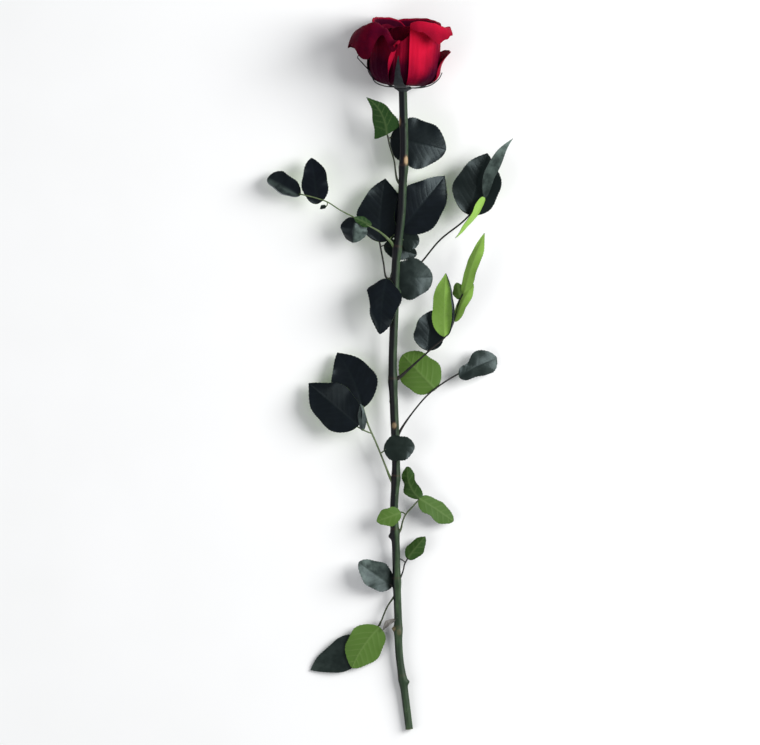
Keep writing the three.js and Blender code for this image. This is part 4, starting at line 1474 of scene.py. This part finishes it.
LEAVES: list[CompoundLeaf] = [
    CompoundLeaf(
        "leaf_top", Slot.LEAF_BRIGHT, (0.9, 0.65),
        [(9, 139.5, 24.4), (5.5, 144, 25.2), (3, 159, 25.6), (0, 169, 26), (-2, 178, 26.5)],
        [[(-1, 174, 25.6), (-0.5, 175.5, 22.4), (1.5, 176, 18.6)]],
        [
            Leaflet((-2.5, 178, 26.7), (-17.5, 206, 29.2), 21.2, 172, 6, 0.4, 0.75,
                    arch=-0.8, bend=4.1, widest=0.05, belly=1.5, tint=1),
            Leaflet((0.5, 176, 18.6), (42, 166.5, 12), 37, -3, 3, 0.9, 0.12, arch=2, tint=0.3),
        ],
        stalk_tint=0.95,
    ),
    CompoundLeaf(
        "leaf_far_left", Slot.LEAF_DARK, (1.05, 0.48),
        [(5, 90, 21.2), (1, 97, 23.2), (-7.5, 105, 25), (-16.5, 110, 25.6), (-27, 116, 24.6),
         (-37.5, 121.5, 22.6), (-47, 127.5, 20), (-55.5, 130.5, 19), (-62, 132.2, 18.2),
         (-68, 133.5, 14)],
        [
            [(-1, 98.5, 23.6), (1, 101, 20.4), (4, 103.5, 18.2), (8, 106, 17.3)],
            [(-47, 127.5, 20), (-47, 125.5, 20.2), (-48, 124, 20.4)],
            [(4, 103.5, 18.2), (7, 101, 17.2), (10, 99, 16.4)],
        ],
        [
            Leaflet((-67.5, 132.5, 14), (-91.5, 146, 8), 18, 10, 6, 0.7, 0,
                    arch=1.5, twist=14, widest=0.58, belly=2.8, curl_left=120,
                    wax=0.03, painted_sheen_left=0.25, tint=0),
            Leaflet((-55, 126, 17), (-59, 160.5, 12.6), 20, -6, 8, 0.7, 0.35,
                    arch=1.5, bend=-1, tint=0),
            Leaflet((-26, 116, 24.4), (-28, 97, 20), 22, 6, -27, 0.8, 0,
                    arch=3, painted_sheen_left=0.55, tint=0.15),
            Leaflet((-14, 110, 25.8), (-27, 116, 27.5), 7, 186, 12, 0.2, 0.3, arch=0.5, tint=1),
            Leaflet((-48, 124.5, 20.3), (-52.5, 122.5, 20.8), 3.8, 30, 20, 0.2, 0.5, tint=0.9),
            Leaflet((8, 106, 17.7), (41, 147, 11.5), 35, 3, 5, 1, 0.75, arch=3, tint=0.1),
            Leaflet((8.5, 99.5, 16.5), (22, 98.5, 15), 16, 0, 5, 0.3, 0, arch=0.5, tint=0.8),
        ],
        stalk_tint=0.62,
    ),
    CompoundLeaf(
        "leaf_upper_left", Slot.LEAF_DARK, (0.95, 0.65),
        [(5, 69.5, 20.5), (1, 70, 20.7), (-2.5, 70.5, 20.9), (-5, 82.5, 18.4), (-8, 98, 16.6)],
        [
            [(-1.5, 69.5, 20.5), (-1, 68.5, 17.6), (1, 69, 15.6)],
            [(-7, 94, 17), (-4.5, 95, 16), (0, 94, 15)],
        ],
        [
            Leaflet((-7.5, 97.5, 16.4), (-3.5, 145, 12), 34.5, 2, 3, 0.9, 0.7,
                    arch=1.2, bend=1.2, tint=0.15),
            Leaflet((-4.5, 95, 15.8), (20, 88, 10), 15, 0, 6, 0.4, 0, arch=0.5, tint=0.8),
            Leaflet((-2.5, 70, 21.4), (-7.5, 28.5, 24.2), 27, 2, 3, 0.8, 0.3,
                    arch=4.9, bend=-0.8, widest=0.24, belly=2, waist=0.4, waist_at=0.05, curl_right=-30,
                    corner=0.24, tint=0.1),
            Leaflet((0, 69, 15.6), (32, 71, 11), 30, 0, 4, 0.7, 0, arch=3.2, wax=0.16, tint=0.6),
        ],
    ),
    CompoundLeaf(
        "leaf_upper_right", Slot.LEAF_DARK, (0.95, 0.65),
        [(4.5, 53, 18.4), (8.5, 58.5, 15.2), (14, 71, 13.2), (25, 84, 13.4), (37.5, 99, 16.5),
         (56, 114, 18.6), (70.5, 130.5, 19)],
        [],
        [
            Leaflet((59, 118, 18), (73, 164, 12.5), 35, 2, 5, 0.9, 0.6, arch=1.5, tint=0.6),
            Leaflet((71, 131, 19.8), (92, 175, 26), 9.5, 14, 14, 0.5, 0.8,
                    arch=2, bend=5, twist=-10, wax=0.75, tint=0.5),
            Leaflet((71, 131, 19.6), (49, 100.5, 24), 10, 124, 10, 0.4, 0.9,
                    arch=-2, twist=-10, widest=0.3, belly=1.3, tint=0),
        ],
    ),
    CompoundLeaf(
        "leaf_bright_right", Slot.LEAF_BRIGHT, (1.1, 0.65),
        [(2.5, -6, 16.8), (7, -4, 17.4), (15, 3, 18.6), (30, 16.5, 20.4), (43.5, 29, 21.6),
         (49.5, 43, 22), (52.5, 54, 22.2), (55, 58.5, 22.4)],
        [[(27, 14, 20), (28, 14.5, 17.6), (28.5, 16, 15.2)]],
        [
            Leaflet((55, 57, 22.4), (71, 104, 27), 11.5, 146, 10, 0.7, 0.6, arch=-2, twist=12, tint=0),
            Leaflet((53, 54.5, 22), (50, 67, 19), 9.5, 168, 10, 0.3, 0.2, arch=-0.5, tint=0.75),
            Leaflet((48.5, 38, 22), (62.5, 66, 25), 9.5, 146, 10, 0.4, 0.1,
                    arch=-1.5, twist=10, tint=0),
            Leaflet((41, 26.5, 21.6), (42, 74, 26), 22.5, 160, 14, 0.9, 0.75,
                    arch=-2, twist=-8, curl_left=-165, tint=0),
            Leaflet((28.5, 16, 15), (31, 46, 11.5), 24, 4, 8, 0.6, 0.5, arch=1, tint=0.4),
        ],
    ),
    CompoundLeaf(
        "leaf_middle_right", Slot.LEAF_DARK, (0.9, 0.6),
        [(4, -52, 14.4), (8, -43.5, 14.8), (16.5, -31, 15), (28.5, -17, 15), (41, -7.5, 14.4),
         (55.5, 1, 11.7)],
        [],
        [
            Leaflet((52, -4, 13), (80, 11, 3.5), 20, -4, 6, 0.9, 0.3,
                    arch=1.6, bend=1, twist=14, widest=0.66, waist=0.3, waist_at=0.32,
                    wax=0.24, tint=0.6),
            Leaflet((34, -13, 14.2), (9.5, 13, 9), 29.5, 178, 7, 0.6, 0, arch=-1, tint=0.7, quilt=0.32),
        ],
    ),
    CompoundLeaf(
        "leaf_middle_left", Slot.LEAF_DARK, (1, 0.65),
        [(4.5, -86, 12.4), (1, -81, 13), (-4, -69, 14.4), (-10.5, -53, 15.4), (-17, -38, 15.2),
         (-20.5, -25.5, 13.6)],
        [
            [(-7, -61, 14.8), (-5, -59.5, 17), (-3, -58, 18.6)],
            [(-14, -46, 15.4), (-19, -44, 17), (-24.5, -41, 17.7)],
        ],
        [
            Leaflet((-4.5, -58.5, 18.4), (18.5, -55.5, 18), 19.5, 0, 6, 0.5, 0.05,
                    arch=1.6, wax=0.08, tint=0.9),
            Leaflet((-20.5, -27, 13.6), (-39.5, 14.5, 7), 33, 2, 5, 0.9, 0.7,
                    arch=2, bend=-2.5, tint=0.1),
            Leaflet((-24, -40.5, 17.6), (-61, -8.5, 10.5), 33, -6, 5, 1, 0.75, arch=2, tint=0.15),
            Leaflet((-20.5, -44, 17.2), (-22, -24, 18.6), 7.5, 36, 10, 0.2, 0.4, wax=0.45, tint=0.3),
        ],
        stalk_tint=0.65,
    ),
    CompoundLeaf(
        "leaf_low_right", Slot.LEAF_BRIGHT, (0.9, 0.6),
        [(4.5, -123, 10.4), (8, -118, 11.2), (9.5, -112, 12.6), (12, -106.5, 13.8),
         (17, -101, 14), (22, -95.5, 13.4)],
        [[(11.5, -107, 13.7), (10, -105.5, 15.4), (8, -105, 16.7)]],
        [
            Leaflet((22, -95, 13.2), (13, -71, 7), 14, 170, 10, 0.9, 0.1,
                    arch=-0.8, bend=-3, waist=0.35, waist_at=0.55, tint=0.95),
            Leaflet((22, -95, 13.4), (47.5, -112, 7), 17, 156, 10, 0.5, 0.05,
                    arch=-1, waist=0.14, waist_at=0.4, tint=0.8, quilt=0.22),
            Leaflet((8, -105.5, 16.6), (-10, -112, 17), 14, 176, 6, 0.4, 0.3, arch=-1, tint=0.72),
        ],
        stalk_tint=0.8,
    ),
    CompoundLeaf(
        "leaf_tiny_right", Slot.LEAF_BRIGHT, (0.85, 0.55),
        [(5, -160, 8.6), (8, -154, 9.4), (10, -148.5, 10), (11, -144, 10.2),
         (13.5, -139.5, 10.2)],
        [[(11.5, -143, 10.2), (10, -141.5, 10.6), (7.5, -140, 11)]],
        [
            Leaflet((13, -140, 10.2), (26.5, -123.5, 7), 13, 160, 10, 0.4, 0.5, arch=-0.8, tint=0.95),
        ],
    ),
    CompoundLeaf(
        "leaf_low_left", Slot.LEAF_DARK, (1.1, 0.9),
        [(5, -162, 8.2), (2, -160.5, 6.4), (-1, -158, 4.9)],
        [],
        [
            Leaflet((2, -160, 4.7), (-23.5, -143, 14), 21, 12, 4, 0.6, 0.1,
                    arch=1.5, bend=1, wax=0.5, tint=0.6),
        ],
    ),
    CompoundLeaf(
        "leaf_bottom_left", Slot.LEAF_BRIGHT, (0.85, 0.6),
        [(5.5, -165, 8.2), (2, -170, 8.4), (-2, -176, 8), (-8, -190.5, 7)],
        [[(-7, -187, 7.2), (-10, -193.5, 5), (-13, -201.5, 3.2)]],
        [
            Leaflet((-8, -191.5, 7), (-28.5, -222, 5), 27.5, 176, 7, 0.6, 0.3,
                    arch=-1, bend=2, tint=0.7, quilt=0.42),
            Leaflet((-13, -201, 3.4), (-59.5, -223.5, 1.6), 24, -2, 5, 0.5, 0.6,
                    arch=0.7, wax=0.12, tint=0.7),
        ],
        stalk_tint=0.9,
    ),
]


# ---------------------------------------------------------------- the cane


@dataclass
class Scar:
    """A thorn stub or bud scar on the cane.

    Attributes:
        y: place along the cane in millimetres.
        around: direction round the cane in degrees, 0 at the top and positive to the right.
        height: how far it stands out.
        length: along the cane.
        corky: 1 for a bare tan scar and 0 for a green stub.
    """

    y: float
    around: float
    height: float
    length: float
    corky: float = 0.0

    def aside(self, angle: Array) -> Array:
        """Distance from the scar round a cane of 3 mm radius, in millimetres."""
        return 3.0 * np.angle(np.exp(1j * (angle - math.radians(self.around))))

    def swell(self, y: Array, angle: Array) -> Array:
        """How far the scar lifts the bark at each place, in millimetres."""
        return self.height * (hill(y - self.y, self.length / 2.2) * hill(self.aside(angle), 1.9))

    def reach(self, y: Array, angle: Array) -> Array:
        """Distance from the middle of the scar; it is 1 at its edge."""
        return np.hypot((y - self.y) / (self.length / 2), self.aside(angle) / 1.7)


@dataclass
class Cane:
    """The long stem with its leaf joints, thorn stubs, dried stipule and cut end.

    Attributes:
        route: middle of the cane from the cut end to the calyx, in millimetres.
        radius_foot: radius at the cut end.
        radius_head: radius from half way up.
        joints: places of the leaf joints along the cane.
        joint_height: how far a joint swells.
        joint_length: half length of the swelling.
        ring: from the middle of a joint to the ring above it.
        sides: faces round the cane.
        stretches: how many parts it is made of, each with all the rings it can have.
        scars: thorn stubs and bud scars.
        stipule: the dried stipule, shaped like a small leaflet.
    """

    route: Route = field(
        default_factory=lambda: [
            (14.5, -268, 2.8), (11, -240, 4.2), (7, -212, 5.7), (6, -182, 7.3), (5, -156, 8.7),
            (4.5, -133.5, 9.9), (3, -103.5, 11.5), (4.5, -73.5, 13.1), (3, -27, 15.7), (2, 1.5, 17.2),
            (3.5, 50, 19.8), (4.5, 82.5, 21.5), (8.5, 118, 23.4), (9.5, 140, 24.6), (10.5, 166.5, 26),
            (9.6, 210.8, 28.1),
        ]
    )
    radius_foot: float = 2.8
    radius_head: float = 3.15
    joints: tuple[float, ...] = (-230, -193, -157, -120, -80, -7, 92, 153)
    joint_height: float = 0.55
    joint_length: float = 5
    ring: float = 2.5
    sides: int = 32
    stretches: int = 5
    scars: list[Scar] = field(
        default_factory=lambda: [
            Scar(187, 12, 0.9, 4.5), Scar(159, 35, 0.5, 6.5, 1.0), Scar(188, -75, 0.4, 6.5, 1.0),
            Scar(-40, -8, 0.7, 4.4, 0.5), Scar(-123, -85, 1.9, 4), Scar(-233, 88, 1.7, 4),
            Scar(-195, 10, 0.5, 5, 0.15), Scar(-192.5, -64, 1.9, 3.6, 0.4), Scar(60, 100, 1.8, 4.5),
            Scar(-22, -150, 1.6, 4),
        ]
    )
    stipule: Leaflet = field(
        default_factory=lambda: Leaflet(
            (3.6, -185.4, 8.6), (-5.6, -194.4, 9.6), 4.6, 24, 22, 0.4, 0.9, 1, -0.8, 30, 0.6
        )
    )

    def radius(self, share: Array, angle: Array) -> Array:
        """Radius of the cane in millimetres.

        Args:
            share: places along the whole cane, 0 to 1.
            angle: directions round it.

        Returns:
            The radius at each place.
        """
        y = spline(self.route, share)[:, 1]
        size = self.radius_foot + (self.radius_head - self.radius_foot) * np.minimum(1, 2 * share)
        for joint in self.joints:
            groove = 0.105 * hill(y - joint - self.ring, 0.7)
            size = size + self.joint_height * hill(y - joint, self.joint_length) - groove
        for scar in self.scars:
            size = size + scar.swell(y, angle)
        return size + 0.06 * np.cos(5 * angle + 0.02 * y) + 0.03 * np.cos(11 * angle - 0.05 * y)

    def mark(self, piece: Piece, share: Array, angle: Array) -> None:
        """Store what the bark's material reads.

        Args:
            piece: a stretch of the cane.
            share: place of each vertex along the whole cane.
            angle: its direction round the cane.
        """
        y = spline(self.route, share)[:, 1]
        corky = np.zeros(len(y))
        rim = np.zeros(len(y))
        for scar in self.scars:
            reach = scar.reach(y, angle)
            corky = np.maximum(corky, scar.corky * np.clip((1.1 - reach) * 4, 0, 1))
            rim = np.maximum(rim, scar.corky * 0.8 * hill(reach - 1.15, 0.22))
        for joint in self.joints:
            rim = np.maximum(rim, 0.4 * hill(y - joint - self.ring, 0.6))
        # painted shade: the dark side reaches up to here, less and less towards the foot
        dark = 0.22 + 0.16 * np.clip((y - 60) / 60, 0, 1) - 1.05 * np.clip((-100 - y) / 90, 0, 1)
        carry(piece, "scar", corky)
        carry(piece, "rim", rim)
        carry(piece, "lit_side", np.clip(0.5 + 2.2 * (np.sin(angle) - dark), 0, 1))
        carry(piece, "cut", share < TINY)

    def stretch(self, k: int) -> Piece:
        """Build one stretch of the cane.

        Args:
            k: its number from the foot, of which 0 has the cut end.

        Returns:
            The stretch.
        """
        start, end = k / self.stretches, (k + 1) / self.stretches
        route = spline(self.route, np.linspace(start, end, 60))
        whole = lambda t: start + (end - start) * t
        radius = lambda t, angle: self.radius(whole(t), angle)
        piece, t, angle = rod(f"stretch_{k}", route, radius, self.sides, MOST_CUTS)
        self.mark(piece, whole(t), angle)
        return piece

    def build(self, finish: Material, dry_finish: Material) -> list[Piece]:
        """Build the cane.

        Args:
            finish: the bark's material.
            dry_finish: the dried stipule's material.

        Returns:
            The cane and its stipule.
        """
        cane = join([self.stretch(k) for k in range(self.stretches)], "cane_bark")
        stipule = self.stipule.build("dried_stipule", 0.35)
        return [
            dress(cane, finish, 60, "stem"),
            dress(stipule, dry_finish, 60),
        ]


# ---------------------------------------------------------------- the studio


@dataclass
class SoftLight:
    """A rectangular soft light that looks at the rose.

    Attributes:
        name: what the light is for.
        place: in metres.
        size: width and height in metres.
        watts: its power.
        colour: its sRGB hex colour.
    """

    name: str
    place: tuple[float, float, float]
    size: tuple[float, float]
    watts: float
    colour: str = "#ffffff"

    def build(self, target: Vector) -> None:
        """Hang the light.

        Args:
            target: the point that it looks at.
        """
        data = bpy.data.lights.new(self.name, "AREA")
        data.shape = "RECTANGLE"
        data.size, data.size_y = self.size
        data.energy = self.watts
        data.color = linear(self.colour)[:3]
        lamp = bpy.data.objects.new(self.name, data)
        lamp.location = self.place
        lamp.rotation_euler = (target - Vector(self.place)).to_track_quat("-Z", "Y").to_euler()
        bpy.context.scene.collection.objects.link(lamp)


@dataclass
class Studio:
    """White table, soft lights and a camera that looks straight down."""

    lights: list[SoftLight] = field(
        default_factory=lambda: [
            SoftLight("window_right", (1.5, 0.45, 1.25), (1.1, 1.4), 48),
            SoftLight("fill_left", (-1.3, -0.7, 1.3), (1.2, 1.2), 10),
        ]
    )
    aim: tuple[float, float, float] = (0, 0.02, 0.02)
    room: str = "#f4f7fb"
    room_strength: float = 0.34
    table_size: float = 6
    camera_height: float = 1.5

    def build(self, finish: Material) -> None:
        """Set up the table, the light and the camera.

        Args:
            finish: the table's material.
        """
        bpy.ops.mesh.primitive_plane_add(size=self.table_size, location=(0, 0, 0))
        table = bpy.context.object
        table.name = "table_top"
        table.data.materials.append(finish)
        for light in self.lights:
            light.build(Vector(self.aim))
        world = bpy.data.worlds.new("soft_room")
        world.use_nodes = True
        background = world.node_tree.nodes["Background"].inputs
        background["Color"].default_value = linear(self.room)
        background["Strength"].default_value = self.room_strength
        data = bpy.data.cameras.new("above")
        data.type = "ORTHO"
        data.ortho_scale = PHOTO_WIDTH_PX * MM_PER_PX * MM
        data.clip_start = 0.01
        camera = bpy.data.objects.new("above", data)
        camera.location = (CAMERA_CENTRE_MM[0] * MM, CAMERA_CENTRE_MM[1] * MM, self.camera_height)
        scene = bpy.context.scene
        scene.collection.objects.link(camera)
        scene.world = world
        scene.camera = camera
        scene.view_settings.view_transform = "Standard"


# ---------------------------------------------------------------- main


def main() -> None:
    """Load the frame, build each part of the rose in order and report it."""
    logging.basicConfig(level=logging.INFO, format="%(message)s")
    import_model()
    petal = VelvetPetal().build()
    blade = LeafBlade().build()
    stalk = LeafStalk().build()
    pieces = Bloom().build(petal)
    pieces.append(Calyx().build(DriedSepal().build()))
    pieces += Cane().build(CaneBark().build(), DriedStipule().build())
    for leaf in LEAVES:
        pieces += leaf.build(blade, stalk)
    Studio().build(TableTop().build())
    for piece in pieces:
        LOG.info("%s: %d faces", piece.name, len(piece.data.polygons))


if __name__ == "__main__":
    main()
